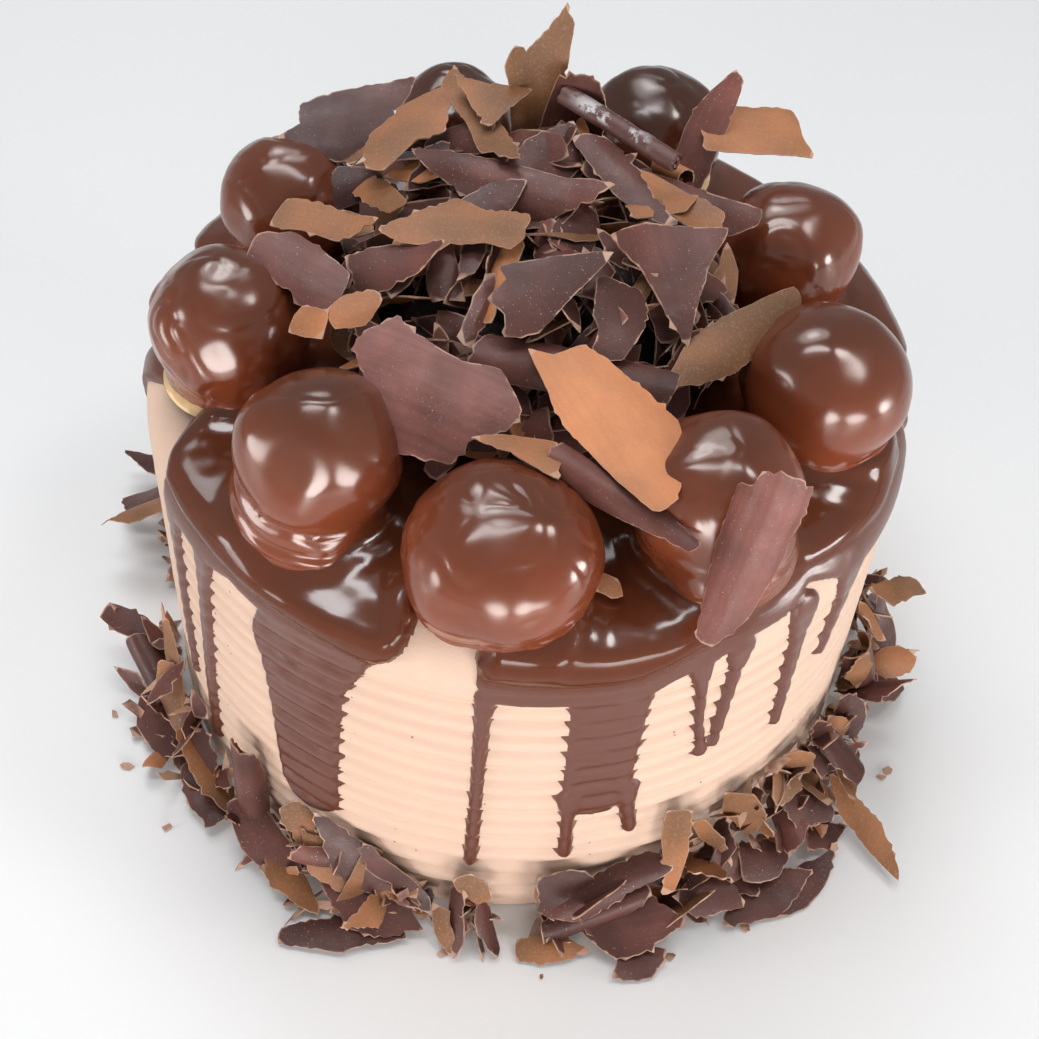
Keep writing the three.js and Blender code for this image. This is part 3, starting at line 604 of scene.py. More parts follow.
def frosting_finish(settings):
    """Matte buttercream, faintly clouded, with painted shade in the grooves and tiny dark specks."""
    finish = Finish("frosting", settings.colour, 0.62)
    finish.set("Subsurface Weight", 0.25)
    finish.set("Subsurface Radius", (1.0, 0.55, 0.38))
    finish.set("Subsurface Scale", 0.003)
    finish.set("Specular IOR Level", 0.35)
    cloud = finish.range(finish.noise(35, 3), 0.3, 0.7)
    tone = finish.mix(cloud, settings.colour, scaled(settings.colour, 0.95))
    # Painted shade: the buttercream is darkened and made pinker where the comb's grooves are deepest.
    groove = finish.range(finish.attribute("groove"), 0.3, 1.0, 0, 0.5)
    tone = finish.mix(groove, tone, settings.groove_shade_colour)
    cells = finish.node("ShaderNodeTexVoronoi", Vector=finish.place, Scale=270.0, Randomness=1.0)
    near = finish.range(cells.outputs["Distance"], 0.05, 0.10, 1, 0)
    chosen = finish.range(cells.outputs["Color"], 0.68, 0.76)
    specks = finish.math("MULTIPLY", near, chosen)
    finish.to_shader(finish.mix(specks, tone, settings.speck_colour), "Base Color")
    finish.bump(finish.noise(900, 4, 0.6), 0.0003, 0.35)
    return finish.material


def ganache_finish(settings):
    """Glossy poured chocolate, satin where it has run out thin, and duller on its steep edges."""
    finish = Finish("ganache", settings.colour, 0.1)
    thick = finish.attribute("cover")
    finish.to_shader(finish.mix(thick, settings.thin_colour, settings.colour), "Base Color")
    finish.to_shader(finish.range(thick, 0, 1, 0.28, 0.14), "Roughness")
    finish.to_shader(finish.attribute("shine"), "Specular IOR Level")
    finish.set("Specular Tint", (1.0, 0.97, 0.95, 1))
    finish.bump(finish.noise(160, 2), 0.0004, 0.08)
    return finish.material


def coat_finish(settings):
    """Dipped chocolate with a soft gloss, redder and lighter low down, and with painted shade towards the
    back.
    """
    finish = Finish("chocolate_coat", settings.coat_colour, 0.2)
    place = finish.parts()
    share = finish.range(place["Z"], *((CROWN_FLOOR + height) * MM for height in LOW_COAT))
    tone = finish.mix(share, settings.low_colour, settings.coat_colour)
    cloud = finish.range(finish.noise(60, 3), 0.35, 0.75, 0, 0.3)
    tone = finish.mix(cloud, tone, scaled(settings.coat_colour, 0.6))
    # Painted shade: the coats darken towards the back.
    darker = finish.range(place["Y"], *(distance * MM for distance in SHADED_BACK), 0, 0.75)
    finish.to_shader(finish.mix(darker, tone, scaled(settings.coat_colour, 0.3)), "Base Color")
    finish.to_shader(finish.range(finish.noise(70, 2), 0.3, 0.7, 0.15, 0.26), "Roughness")
    finish.set("Specular IOR Level", 0.75)
    finish.set("Specular Tint", (1.0, 0.92, 0.87, 1))
    return finish.material


def crust_finish(settings):
    """Baked choux, gold with browned patches."""
    finish = Finish("choux", settings.crust_colour, 0.6)
    cloud = finish.range(finish.noise(110, 4), 0.45, 0.75)
    browned = scaled(settings.crust_colour, 0.55)
    finish.to_shader(finish.mix(cloud, settings.crust_colour, browned), "Base Color")
    finish.bump(finish.noise(400, 4), 0.0006, 0.6)
    return finish.material


def dark_finish(settings):
    """A shard's dark face: clouded, streaked and dusted, and paler at its rim."""
    dark = Finish("dark_face", settings.dark_colour, 0.42)
    deep = scaled(settings.dark_colour, 0.38)
    tone = dark.mix(dark.attribute("tint"), deep, scaled(settings.dark_colour, 1.6))
    cloud = dark.range(dark.noise(120, 3), 0.35, 0.7, 0, 0.35)
    lines = dark.range(dark.streaks("across", 0.5), 0.4, 0.75, 0, 0.22)
    tone = dark.mix(dark.math("ADD", cloud, lines), tone, deep)
    pale_rim = dark.range(dark.noise(160, 2), 0.38, 0.55, 0.1, 0.8)
    pale_rim = dark.math("MULTIPLY", pale_rim, dark.range(dark.attribute("rim"), 0.82, 0.96))
    tone = dark.mix(pale_rim, tone, settings.edge_colour)
    patch = dark.range(dark.noise(70, 2), 0.35, 0.62)
    specks = dark.math("MULTIPLY", dark.range(dark.noise(2500, 1, 0.4), 0.71, 0.78), patch)
    dark.to_shader(dark.mix(specks, tone, settings.speck_colour), "Base Color")
    dark.set("Specular IOR Level", 0.28)
    dark.to_shader(dark.range(dark.noise(220, 3), 0.3, 0.7, 0.34, 0.5), "Roughness")
    dark.bump(dark.noise(700, 3), 0.0003, 0.35)
    return dark.material


def milk_finish(settings):
    """A shard's milk face: clouded, faintly streaked and grained, and paler at its rim."""
    milk = Finish("milk_face", settings.milk_colour, 0.6)
    tone = milk.mix(milk.attribute("tint"), settings.tan_colour, settings.milk_colour)
    cloud = milk.range(milk.noise(90, 3), 0.35, 0.7, 0, 0.3)
    tone = milk.mix(cloud, tone, settings.tan_colour)
    lines = milk.range(milk.streaks("across", 0.7), 0.4, 0.75, 0, 0.07)
    tone = milk.mix(lines, tone, scaled(settings.tan_colour, 0.6))
    grain = milk.range(milk.noise(1500, 2), 0.52, 0.75, 0, 0.2)
    tone = milk.mix(grain, tone, settings.edge_colour)
    pale_rim = milk.range(milk.attribute("rim"), 0.9, 1.0, 0, 0.6)
    milk.to_shader(milk.mix(pale_rim, tone, settings.edge_colour), "Base Color")
    milk.bump(milk.noise(1200, 3), 0.0003, 0.4)
    return milk.material


def edge_finish(settings):
    """A shard's broken edge."""
    edge = Finish("broken_edge", settings.edge_colour, 0.6)
    cloud = edge.range(edge.noise(300, 2), 0.3, 0.7)
    edge.to_shader(edge.mix(cloud, settings.edge_colour, settings.tan_colour), "Base Color")
    return edge.material


def shard_finishes(settings):
    """The finishes of a shard, in the order of DARK_FACE, MILK_FACE and BROKEN_EDGE."""
    return [dark_finish(settings), milk_finish(settings), edge_finish(settings)]


def core_shade_finish(settings):
    """Packed scraps deep in the heap, coloured near black as painted shade."""
    # Painted shade: the core is near black, darker than any shard, to stand for the shade between them.
    colour = scaled(settings.dark_colour, 0.06)
    finish = Finish("shaded_heap_core", colour, 0.7)
    cloud = finish.range(finish.noise(200, 4), 0.4, 0.6)
    finish.to_shader(finish.mix(cloud, colour, scaled(colour, 2.2)), "Base Color")
    finish.bump(finish.noise(300, 4), 0.002, 0.8)
    return finish.material


def bloomed_finish(settings):
    """A dark roll with a white bloom rubbed along its top."""
    colour = scaled(settings.dark_colour, 0.6)
    finish = Finish("bloomed_roll", colour, 0.5)
    streak = finish.range(finish.noise(190, 4, 0.7), 0.47, 0.55)
    share = finish.math("MULTIPLY", streak, finish.attribute("bloom"))
    finish.to_shader(finish.mix(share, colour, (0.75, 0.74, 0.74)), "Base Color")
    finish.bump(finish.noise(500, 3), 0.0004, 0.5)
    return finish.material


def floor_finish(settings):
    """A plain pale floor."""
    finish = Finish("floor", settings.floor_colour, 0.45)
    cloud = finish.range(finish.noise(3, 2), 0.3, 0.7)
    tone = finish.mix(cloud, settings.floor_colour, scaled(settings.floor_colour, 0.985))
    finish.to_shader(tone, "Base Color")
    return finish.material


def comb_groove(height, settings):
    """How deep the comb has cut at a height on the side: 0 on a ridge, 1 in a groove."""
    pitch = (COMB_TOP - PLAIN_FOOT) / settings.ridges
    phase = np.mod((np.asarray(height) - PLAIN_FOOT) / pitch, 1.0)
    groove = smooth_share(phase, 0.55, 0.95) - smooth_share(phase, 0.95, 1.0)
    rise = 1 - smooth_share(phase, 0.0, 0.22)
    fade = 1 - smooth_share(np.asarray(height), COMB_TOP - 5, COMB_TOP + 1)
    return np.maximum(groove, rise) * fade


def unevenness(angle, height):
    """Slow waves of the frosting's side, in millimetres."""
    return 0.55 * noise.noise(polar(angle, 2.2, height / 45))


def frosting_profile(settings):
    """Half outline of the cake from the middle of its base to the middle of its top."""
    pitch = (COMB_TOP - PLAIN_FOOT) / settings.ridges
    depth = settings.ridge_depth / MM
    heights = [0.6, 1.6]
    heights += [PLAIN_FOOT + pitch * k / RIDGE_STEPS for k in range(settings.ridges * RIDGE_STEPS)]
    outline = [(0, 0), (INNER_RING, 0), (CAKE_RADIUS - 2.2, 0), (CAKE_RADIUS - 1.2, 0.3)]
    for height in heights:
        outline.append((CAKE_RADIUS - depth * float(comb_groove(height, settings)), height))
    for k in range(RIM_STEPS + 1):
        bend = math.pi / 2 * k / RIM_STEPS
        outline.append((FLAT_REACH + RIM_ROUND * math.cos(bend), COMB_TOP + RIM_ROUND * math.sin(bend)))
    return outline + [(70, CAKE_HEIGHT), (35, CAKE_HEIGHT), (0, CAKE_HEIGHT)]


def spun(outline, steps):
    """A closed turned shape from a half outline of radius and height."""
    bm = bmesh.new()
    points = [bm.verts.new((radius, 0, height)) for radius, height in outline]
    edges = [bm.edges.new(pair) for pair in zip(points, points[1:])]
    bmesh.ops.spin(
        bm, geom=points + edges, cent=(0, 0, 0), axis=(0, 0, 1), angle=2 * math.pi, steps=steps,
        use_merge=True,
    )
    bmesh.ops.remove_doubles(bm, verts=bm.verts[:], dist=1e-4)
    face_outwards(bm)
    return bm


def build_frosting(settings):
    """The combed cake, with slow waves, dragged ridges and small pits."""
    bm = spun(frosting_profile(settings), FROSTING_STEPS)
    # Depth of the comb's cut, which the frosting's colour uses for its painted shade in the grooves.
    groove = bm.verts.layers.float.new("groove")
    for vertex in bm.verts:
        radius = vertex.co.xy.length
        if radius < INNER_RING:
            continue
        height = vertex.co.z
        vertex[groove] = float(comb_groove(height, settings))
        angle = math.degrees(math.atan2(vertex.co.y, vertex.co.x))
        wave = unevenness(angle, height)
        drag = 0.16 * noise.noise(polar(angle, 9, height / 2.2))
        pit = 0.07 * noise.noise(vertex.co / 1.6)
        side = eased(radius, FLAT_REACH - 5, FLAT_REACH + 8)
        vertex.co.xy *= 1 + side * (wave + drag + pit) / radius
        if 0.5 < height < COMB_TOP:
            vertex.co.z += 0.45 * noise.noise(polar(angle, 5, height / 12))
    return bm


def on_skin(reach):
    """Radius and height on the cake's smooth skin, with the outward direction there."""
    if reach <= FLAT_REACH:
        return reach, CAKE_HEIGHT, 0.0, 1.0
    if reach <= RIM_REACH:
        bend = (reach - FLAT_REACH) / RIM_ROUND
        out, up = math.sin(bend), math.cos(bend)
        return FLAT_REACH + RIM_ROUND * out, COMB_TOP + RIM_ROUND * up, out, up
    return CAKE_RADIUS, COMB_TOP - (reach - RIM_REACH), 1.0, 0.0


def reach_at(radius, height):
    """The reach of a point of the smooth skin."""
    if height <= COMB_TOP:
        return RIM_REACH + COMB_TOP - height
    if radius <= FLAT_REACH:
        return radius
    return FLAT_REACH + RIM_ROUND * math.atan2(radius - FLAT_REACH, height - COMB_TOP)


def reach_down(height):
    """The reach of a height on the side or the rim."""
    if height <= COMB_TOP:
        return RIM_REACH + COMB_TOP - height
    return RIM_REACH - RIM_ROUND * math.asin((height - COMB_TOP) / RIM_ROUND)


def edge_line(front, beyond):
    """A lower edge of the ganache once round, as angles from 0 to 360 and reaches, smoothed."""
    knots = [(angle % 360, reach) for angle, reach in front]
    for middle, half, reach in BACK_LOBES:
        for share, level in LOBE_SHAPE:
            knots.append(((middle + half * share) % 360, POOL_EDGE + (reach + beyond - POOL_EDGE) * level))
    knots.sort()
    wrapped = [(knots[-1][0] - 360, knots[-1][1])] + knots + [(a + 360, r) for a, r in knots[:2]]
    angles = np.arange(0, 360, EDGE_STEP)
    plain = at_angle(wrapped, angles)
    soft = (np.roll(plain, 1) + 2 * plain + np.roll(plain, -1)) / 4
    waver = [noise.noise(polar(angle, 3.5, 7 + beyond)) for angle in angles]
    return angles, soft + np.array(waver)


def inside_edge(places, angles, reaches, line):
    """How far each place lies inside an edge, in millimetres along the skin; below 0 outside it."""
    edge_angles, edge_reaches = line
    edge = np.stack([edge_angles * DEGREE, edge_reaches], axis=1)
    edge = np.concatenate([edge - [360 * DEGREE, 0], edge, edge + [360 * DEGREE, 0]])
    inside = np.empty(len(places))
    chunk_size = 4000
    margin = 30
    for first in range(0, len(places), chunk_size):
        chunk = places[first:first + chunk_size]
        near = (edge[:, 0] > chunk[:, 0].min() - margin) & (edge[:, 0] < chunk[:, 0].max() + margin)
        gaps = chunk[:, None, :] - edge[None, near, :]
        inside[first:first + chunk_size] = np.sqrt((gaps ** 2).sum(axis=2).min(axis=1))
    level = np.interp(angles, np.append(edge_angles, 360), np.append(edge_reaches, edge_reaches[0]))
    return np.where(reaches < level, inside, -inside)


def along_run(places, start, end, start_half, end_half):
    """How far inside one stretch of a drip each place lies, and whether it is on its far side."""
    run = end - start
    share = np.clip(((places - start) @ run) / (run @ run), 0, 1)
    across = places - start - share[:, None] * run
    gap = np.linalg.norm(across, axis=1)
    return start_half + (end_half - start_half) * share - gap, across[:, 0] > 0


def rounded(inside, edge):
    """Share of the full depth at a distance inside the border, a quarter round; below 0 outside."""
    share = np.clip(inside / edge, 0, 1)
    return np.where(inside < 0, 0.6 * inside, np.sqrt(1 - (1 - share) ** 2))


def soft_max(first, second, blend):
    """The larger of two values, rounded off where they are close."""
    share = np.clip(0.5 + 0.5 * (first - second) / blend, 0, 1)
    return second + (first - second) * share + blend * share * (1 - share)


def shoulder_fill(reach, settings):
    """Depth that squares the cake's rounded rim up to the tighter shoulder of the thick ganache."""
    radius, height, out, up = on_skin(reach)
    cover = settings.lobe_depth / MM
    side = radius - (CAKE_RADIUS + cover - SHOULDER_ROUND)
    top = height - (CAKE_HEIGHT + cover - SHOULDER_ROUND)
    to_top = (SHOULDER_ROUND - top) / up if up > 1e-6 else math.inf
    to_side = (SHOULDER_ROUND - side) / out if out > 1e-6 else math.inf
    depth = min(to_top, to_side)
    if side + depth * out > 0 and top + depth * up > 0:
        along = side * out + top * up
        depth = math.sqrt(along * along - side * side - top * top + SHOULDER_ROUND ** 2) - along
    return depth


def slope_fill(reach, start, settings):
    """Depth up to the slope that the thick ganache has before its shoulder."""
    radius, height, out, up = on_skin(reach)
    slope_out, slope_up = math.sin(SLOPE_TILT), math.cos(SLOPE_TILT)
    top = CAKE_HEIGHT + settings.lobe_depth / MM
    gap = (start - radius) * slope_out + (top - height) * slope_up
    return gap / (out * slope_out + up * slope_up)


def inside_drip(run, places):
    """How far inside a drip each place lies, and whether it is past the drip's middle line."""
    points = [(np.array([angle * DEGREE, reach_down(height)]), half) for angle, height, half in run]
    best = np.full(len(places), -50.0)
    far_side = np.zeros(len(places), dtype=bool)
    shift = 360 * DEGREE if points[0][0][0] > 180 * DEGREE else -360 * DEGREE
    for (start, start_half), (end, end_half) in zip(points, points[1:]):
        for moved in (places, places + [shift, 0]):
            within, far = along_run(moved, start, end, start_half, end_half)
            far_side = np.where(within > best, far, far_side)
            best = np.maximum(best, within)
    return best, far_side


def thick_depth(angles, reaches, inside, settings):
    """Depth of the thick ganache: lobes with a shoulder, a slope before it in places, and a lip."""
    knots, shares, distances = zip(*SLOPED)
    starts = np.interp(angles, knots, distances)
    sloped = np.interp(angles, knots, shares)
    fill = np.array([shoulder_fill(reach, settings) for reach in reaches])
    slope = np.array([slope_fill(reach, start, settings) for reach, start in zip(reaches, starts)])
    fill += sloped * (-soft_max(-fill, -slope, SLOPE_BLEND) - fill)
    full = at_angle(FULLNESS, angles)
    lip = settings.lip / MM * np.exp(-((inside - LIP_INSIDE) / LIP_WIDTH) ** 2)
    lip = np.where(inside > 0, lip, 0) * full
    return (settings.lobe_depth / MM * (1 - full) + fill * full) * rounded(inside, LOBE_BORDER) + lip


def ganache_depth(angles, reaches, frosting, settings):
    """Depth over the skin, how thick it looks, how far inside the thick part, how far in narrow drips."""
    places = np.stack([angles * DEGREE, reaches], axis=1)
    inside = inside_edge(places, angles, reaches, edge_line(THICK_EDGE, 0.0))
    beyond = inside_edge(places, angles, reaches, edge_line(THIN_EDGE, THIN_BEYOND))
    thin_full = settings.drip_depth / MM
    thick = thick_depth(angles, reaches, inside, settings)
    depth = soft_max(thick, thin_full * rounded(beyond, DRIP_BORDER), FLOW_BLEND)
    heights = np.where(reaches > RIM_REACH, COMB_TOP - (reaches - RIM_REACH), CAKE_HEIGHT)
    groove = comb_groove(heights, frosting)
    steps = smooth_share(groove, 0.25, 0.55) - 0.45
    filled = np.zeros(len(places))
    for run in DRIPS:
        within, far_side = inside_drip(run, places)
        if max(half for angle, height, half in run[1:]) > BROAD_HALF:
            within = within + np.where(far_side, BROAD_STEPS["far"], BROAD_STEPS["near"]) * steps
            full = thin_full * BROAD_DEPTH
        else:
            within = within + NARROW_STEPS * (groove - 0.45)
            full = thin_full * NARROW_DEPTH
            filled = np.maximum(filled, smooth_share(within, 0.2, 1.4))
        depth = soft_max(depth, full * rounded(within, DRIP_BORDER), FLOW_BLEND)
    return depth, smooth_share(inside, -2.0, 0.5), inside, filled


def pool_swell(x, y, inside):
    """Slow swells of the pool, and its rise with ripples round the foot of each profiterole."""
    swell = sum(
        height * noise.noise(Vector((x / length, y / length, level)))
        for height, length, level in POOL_SWELLS
    )
    rise = 0.0
    for bun in PROFITEROLES:
        gap = max(0.0, math.hypot(x - bun.x, y - bun.y) - 0.8 * bun.radius)
        if gap > RISE_REACH:
            continue
        ripple = RIPPLE_HEIGHT * math.cos(2 * math.pi * gap / RIPPLE_LENGTH)
        rise += FOOT_RISE * math.exp(-gap / FOOT_FALL) + ripple * math.exp(-gap / RIPPLE_LENGTH)
    return (swell + min(rise, RISE_LIMIT)) * eased(inside, 0.5, 6)


def ganache_grid():
    """A skin over the cake's top and side that is finest in front, with each point's angle and reach."""
    rings = [0, 25, 45, 55] + list(np.arange(58, FLAT_REACH, 0.9)) + list(np.arange(FLAT_REACH, 200, 1.0))
    bm = spun([on_skin(ring)[:2] for ring in rings], GANACHE_STEPS)
    angles = np.empty(len(bm.verts))
    reaches = np.empty(len(bm.verts))
    for index, vertex in enumerate(bm.verts):
        angle = math.degrees(math.atan2(vertex.co.y, vertex.co.x))
        crowd = CROWDING * math.sin(math.radians(angle - FRONT_ANGLE))
        angles[index] = (angle - crowd) % 360
        reaches[index] = reach_at(vertex.co.xy.length, vertex.co.z)
    return bm, angles, reaches


def close_under(bm, under, row):
    """Gives a skin its underside, at the place in under that each point's number in a layer names."""
    grown = bmesh.ops.extrude_face_region(bm, geom=bm.faces[:], use_keep_orig=True)["geom"]
    outer = {item for item in grown if isinstance(item, bmesh.types.BMVert)}
    for vertex in bm.verts:
        if vertex not in outer:
            vertex.co = under[vertex[row]]
    bm.verts.layers.int.remove(row)
    face_outwards(bm)
    bm.normal_update()


def build_ganache(settings, frosting):
    """One skin of ganache: the pool, the lobes over the rim and the drips down the side."""
    bm, angles, reaches = ganache_grid()
    depth, cover, inside, filled = ganache_depth(angles, reaches, frosting, settings)
    ridged = at_angle(RIDGE_SHARE, angles)
    layer = bm.verts.layers.float.new("cover")
    row = bm.verts.layers.int.new("row")
    comb = frosting.ridge_depth / MM
    under = []
    for index, vertex in enumerate(list(bm.verts)):
        radius, height, out, up = on_skin(reaches[index])
        across = polar(angles[index], 1, 0)
        lift = depth[index]
        if up > 0:
            swell = pool_swell(radius * across.x, radius * across.y, inside[index])
            lift += swell * up * up + up * settings.pool_depth / MM * 0.15
        spot = radius * across + Vector((0, 0, height))
        lift += 0.45 * noise.noise(spot / 8) * eased(inside[index], 0.5, 5) * out
        follow = ridged[index] * (1.0 - 0.85 * eased(inside[index], -3, 4)) * (1 - 0.75 * filled[index])
        patch = noise.noise(Vector((angles[index] * DEGREE / 6, height / 3.5, 2)))
        follow *= 0.45 + 0.55 * eased(patch, -0.25, 0.2)
        lift -= out * follow * comb * float(comb_groove(height, frosting))
        lift += out * unevenness(angles[index], height)
        under.append((radius - UNDERSIDE * out) * across + Vector((0, 0, height - UNDERSIDE * up)))
        vertex.co = (radius + out * lift) * across + Vector((0, 0, height + up * lift))
        vertex[layer] = cover[index]
        vertex[row] = index
        vertex.tag = bool(depth[index] < BARE_BELOW)
    bare = [face for face in bm.faces if all(vertex.tag for vertex in face.verts)]
    bmesh.ops.delete(bm, geom=bare, context="FACES")
    close_under(bm, under, row)
    shine = bm.verts.layers.float.new("shine")
    for vertex in bm.verts:
        steep = eased(0.8 - vertex.normal.z, 0, 0.35)
        vertex[shine] = 0.75 - steep * (0.15 + 0.45 * vertex[layer])
    return bm


def dents_of(seed):
    """A few soft dents and swellings of a profiterole: direction, depth and width."""
    draw = random.Random(DENT_SEEDS + seed)
    dents = []
    for k in range(DENTS):
        turn = draw.uniform(0, 2 * math.pi)
        rise = draw.uniform(*DENT_RISE)
        level = math.sqrt(1 - rise * rise)
        place = Vector((level * math.cos(turn), level * math.sin(turn), rise))
        dents.append((place, draw.uniform(*DENT_DEPTH), draw.uniform(*DENT_WIDTH)))
    return dents


def bun_middle(bun):
    """Middle of a profiterole."""
    return Vector((bun.x, bun.y, CROWN_FLOOR + bun.middle))


def bun_size(direction, bun, seed, dents):
    """Distance of a profiterole's skin from its middle in a direction, with lumps, dents and creases."""
    shift = Vector((7.3 * seed, 3.1 * seed, 5.7 * seed))
    lumps = 0.08 * noise.noise(1.25 * direction + shift) + 0.014 * noise.noise(2.6 * direction - shift)
    crease = 1 - abs(noise.noise(1.6 * direction + 2 * shift))
    lumps -= CREASES[seed] * crease ** 8
    patch = eased(noise.noise(1.3 * direction - 3 * shift), -0.15, 0.3)
    wrinkle = max(0.0, 1 - 2.6 * abs(noise.noise(2.6 * direction + 4 * shift)))
    lumps -= WRINKLES[seed] * patch * wrinkle ** 1.5
    for place, depth, width in dents:
        lumps -= depth * math.exp(-(direction - place).length_squared / (width * width))
    if seed in LEDGES:
        cap, size, depth = LEDGES[seed]
        wander = 0.06 * noise.noise(2.2 * direction + shift)
        lumps -= depth * eased(direction.dot(Vector(cap)) + wander, size - 0.05, size + 0.05)
    level = direction.xy.length
    return bun.radius * (1 + lumps) / math.sqrt(level * level + (direction.z / bun.squash) ** 2)


def build_coat(bun, seed):
    """A dipped coat: a lumpy ball that sits in the pool, with folds where the chocolate gathered."""
    bm = bmesh.new()
    bmesh.ops.create_icosphere(bm, subdivisions=6, radius=1.0)
    dents = dents_of(seed)
    for vertex in bm.verts:
        direction = vertex.co.normalized()
        place = bun_size(direction, bun, seed, dents) * direction
        height = place.z + bun.middle
        turn = math.atan2(direction.y, direction.x)
        wander = noise.noise(Vector((1.3 * direction.x, 1.3 * direction.y, 3.0 * seed)))
        foot = 1 - eased(height, 0, 9)
        flare = 2.6 * foot * foot
        if seed in SKIRTS:
            skirt_side, reach = SKIRTS[seed]
            near = eased(math.cos(turn - math.radians(skirt_side)), -0.1, 0.6)
            sway = height + 2.2 * noise.noise(Vector((2.2 * direction.x, 2.2 * direction.y, 2.0 * seed)))
            sway += SKIRT_SLANT * math.sin(turn - math.radians(skirt_side))
            tiers = sum(1 - eased(sway, tier - 2.0, tier + 1.2) for tier in SKIRT_TIERS)
            wide = bun.radius - SKIRT_START + (reach + SKIRT_START) * tiers / len(SKIRT_TIERS)
            flare += near * max(0.0, wide - place.xy.length - flare) * (tiers > 0)
        flare += FOLDS[seed] * foot * math.sin(2 * math.pi * (height / 3.2 + 0.8 * wander))
        facing = math.cos(turn - math.radians(bun.side))
        if bun.bare > 0 and facing > BARE_FACING[0]:
            edge = bun.bare + 2.0 * wander
            flare -= 6.0 * (eased(edge - height, -1, 1) * eased(facing, *BARE_FACING))
        place.xy += direction.xy.normalized() * flare if direction.xy.length > 0.05 else direction.xy
        place.z = max(place.z, -bun.middle - 1.5)
        vertex.co = place + bun_middle(bun)
    return bm


def build_bun(bun, seed):
    """The choux bun under a coat, with a crackled crust that spreads at the foot where it is bare."""
    bm = bmesh.new()
    bmesh.ops.create_icosphere(bm, subdivisions=5, radius=1.0)
    dents = dents_of(seed)
    for vertex in bm.verts:
        direction = vertex.co.normalized()
        size = bun_size(direction, bun, seed, dents) - COAT_DEPTH
        size += 0.35 * noise.noise(7 * direction + Vector((seed, 0, 0)))
        place = size * direction
        height = place.z + bun.middle
        facing = math.cos(math.atan2(direction.y, direction.x) - math.radians(bun.side))
        if bun.bare > 0 and facing > BARE_FACING[0] and direction.xy.length > 0.2:
            bare = eased(facing, *BARE_FACING) * (1 - eased(height, bun.bare - 2, bun.bare + 2))
            wide = direction.xy.normalized() * (bun.radius - COAT_DEPTH)
            place.xy = place.xy.lerp(wide, bare)
        place.z = max(place.z, -bun.middle - 1.2)
        vertex.co = place + bun_middle(bun)
    return bm


def broken_outline(corners, draw, step):
    """The corners joined by slightly bowed sides, some clean and some torn in small uneven steps."""
    count = len(corners)
    points = []
    for index in range(count):
        before, start, end, after = (Vector(corners[(index + k) % count]) for k in (-1, 0, 1, 2))
        length = (end - start).length
        steps = max(1, round(length / step))
        across = Vector((end.y - start.y, start.x - end.x)) / length
        rough, nicked = TORN if draw.random() < TORN_SHARE else CLEAN
        for k in range(steps):
            share = k / steps
            straight = start.lerp(end, share)
            bowed = 0.5 * (
                2 * start + (end - before) * share
                + (2 * before - 5 * start + 4 * end - after) * share ** 2
                + (3 * start - before - 3 * end + after) * share ** 3
            )
            point = straight.lerp(bowed, BOW)
            if k > 0:
                torn = draw.gauss(0, rough)
                if draw.random() < nicked:
                    torn += draw.uniform(*NICK)
                point += across * torn
            points.append(point)
    return points


def cut_to_grid(bm, low, high, step, axis):
    """Cuts the plate across an axis at even steps, so that it can bend."""
    normal = Vector((0, 0, 0))
    normal[axis] = 1
    place = low + step
    while place < high - 0.3 * step:
        geometry = bm.verts[:] + bm.edges[:] + bm.faces[:]
        bmesh.ops.bisect_plane(bm, geom=geometry, dist=1e-4, plane_co=normal * place, plane_no=normal)
        place += step


def shard_basis(start, end, roll):
    """Matrix from a shard's own axes, along, across and face, to the cake's."""
    start, end = Vector(start), Vector(end)
    axis = (end - start).normalized()
    up = Vector((0, 0, 1))
    if abs(axis.z) > 0.85:
        up = Vector((start.x, start.y, 0)).normalized()
    face = (up - axis * up.dot(axis)).normalized()
    face = Matrix.Rotation(math.radians(roll), 3, axis) @ face
    side = face.cross(axis)
    basis = Matrix((axis, side, face)).transposed().to_4x4()
    return Matrix.Translation((start + end) / 2) @ basis


def bent(place, curl, arch, width, length):
    """A point of the flat plate after it has curled across its width and arched along its length."""
    x, y, z = place
    if curl:
        radius = width / math.radians(curl)
        turn = y / radius
        arm = radius * (1 - 0.035 * abs(turn) * (abs(curl) > 180)) + z
        y, z = arm * math.sin(turn), arm * math.cos(turn) - radius
    if arch:
        radius = length / math.radians(arch)
        turn = x / radius
        x, z = (radius + z) * math.sin(turn), (radius + z) * math.cos(turn) - radius
    return Vector((x, y, z))


def flat_plate(corners, draw, steps, thickness, face_up):
    """A flat broken plate with its finishes and its rim marked, and its length and width."""
    edge_step, long_step, wide_step = steps
    bm = bmesh.new()
    outline = broken_outline(corners, draw, edge_step)
    bm.faces.new([bm.verts.new((point.x, point.y, 0)) for point in outline])
    xs = [point.x for point in outline]
    ys = [point.y for point in outline]
    cut_to_grid(bm, min(xs), max(xs), long_step, 0)
    cut_to_grid(bm, min(ys), max(ys), wide_step, 1)
    bmesh.ops.triangulate(bm, faces=bm.faces[:], quad_method="BEAUTY", ngon_method="BEAUTY")
    rim = bm.verts.layers.float.new("rim")
    for vertex in bm.verts:
        vertex[rim] = 1.0 if vertex.is_boundary else 0.0
    bmesh.ops.solidify(bm, geom=bm.faces[:], thickness=thickness)
    face_outwards(bm)
    bm.normal_update()
    upper, lower = (DARK_FACE, MILK_FACE) if face_up == DARK else (MILK_FACE, DARK_FACE)
    for face in bm.faces:
        if abs(face.normal.z) < 0.6:
            face.material_index = BROKEN_EDGE
        else:
            face.material_index = upper if face.normal.z > 0 else lower
    return bm, max(xs) - min(xs), max(ys) - min(ys)


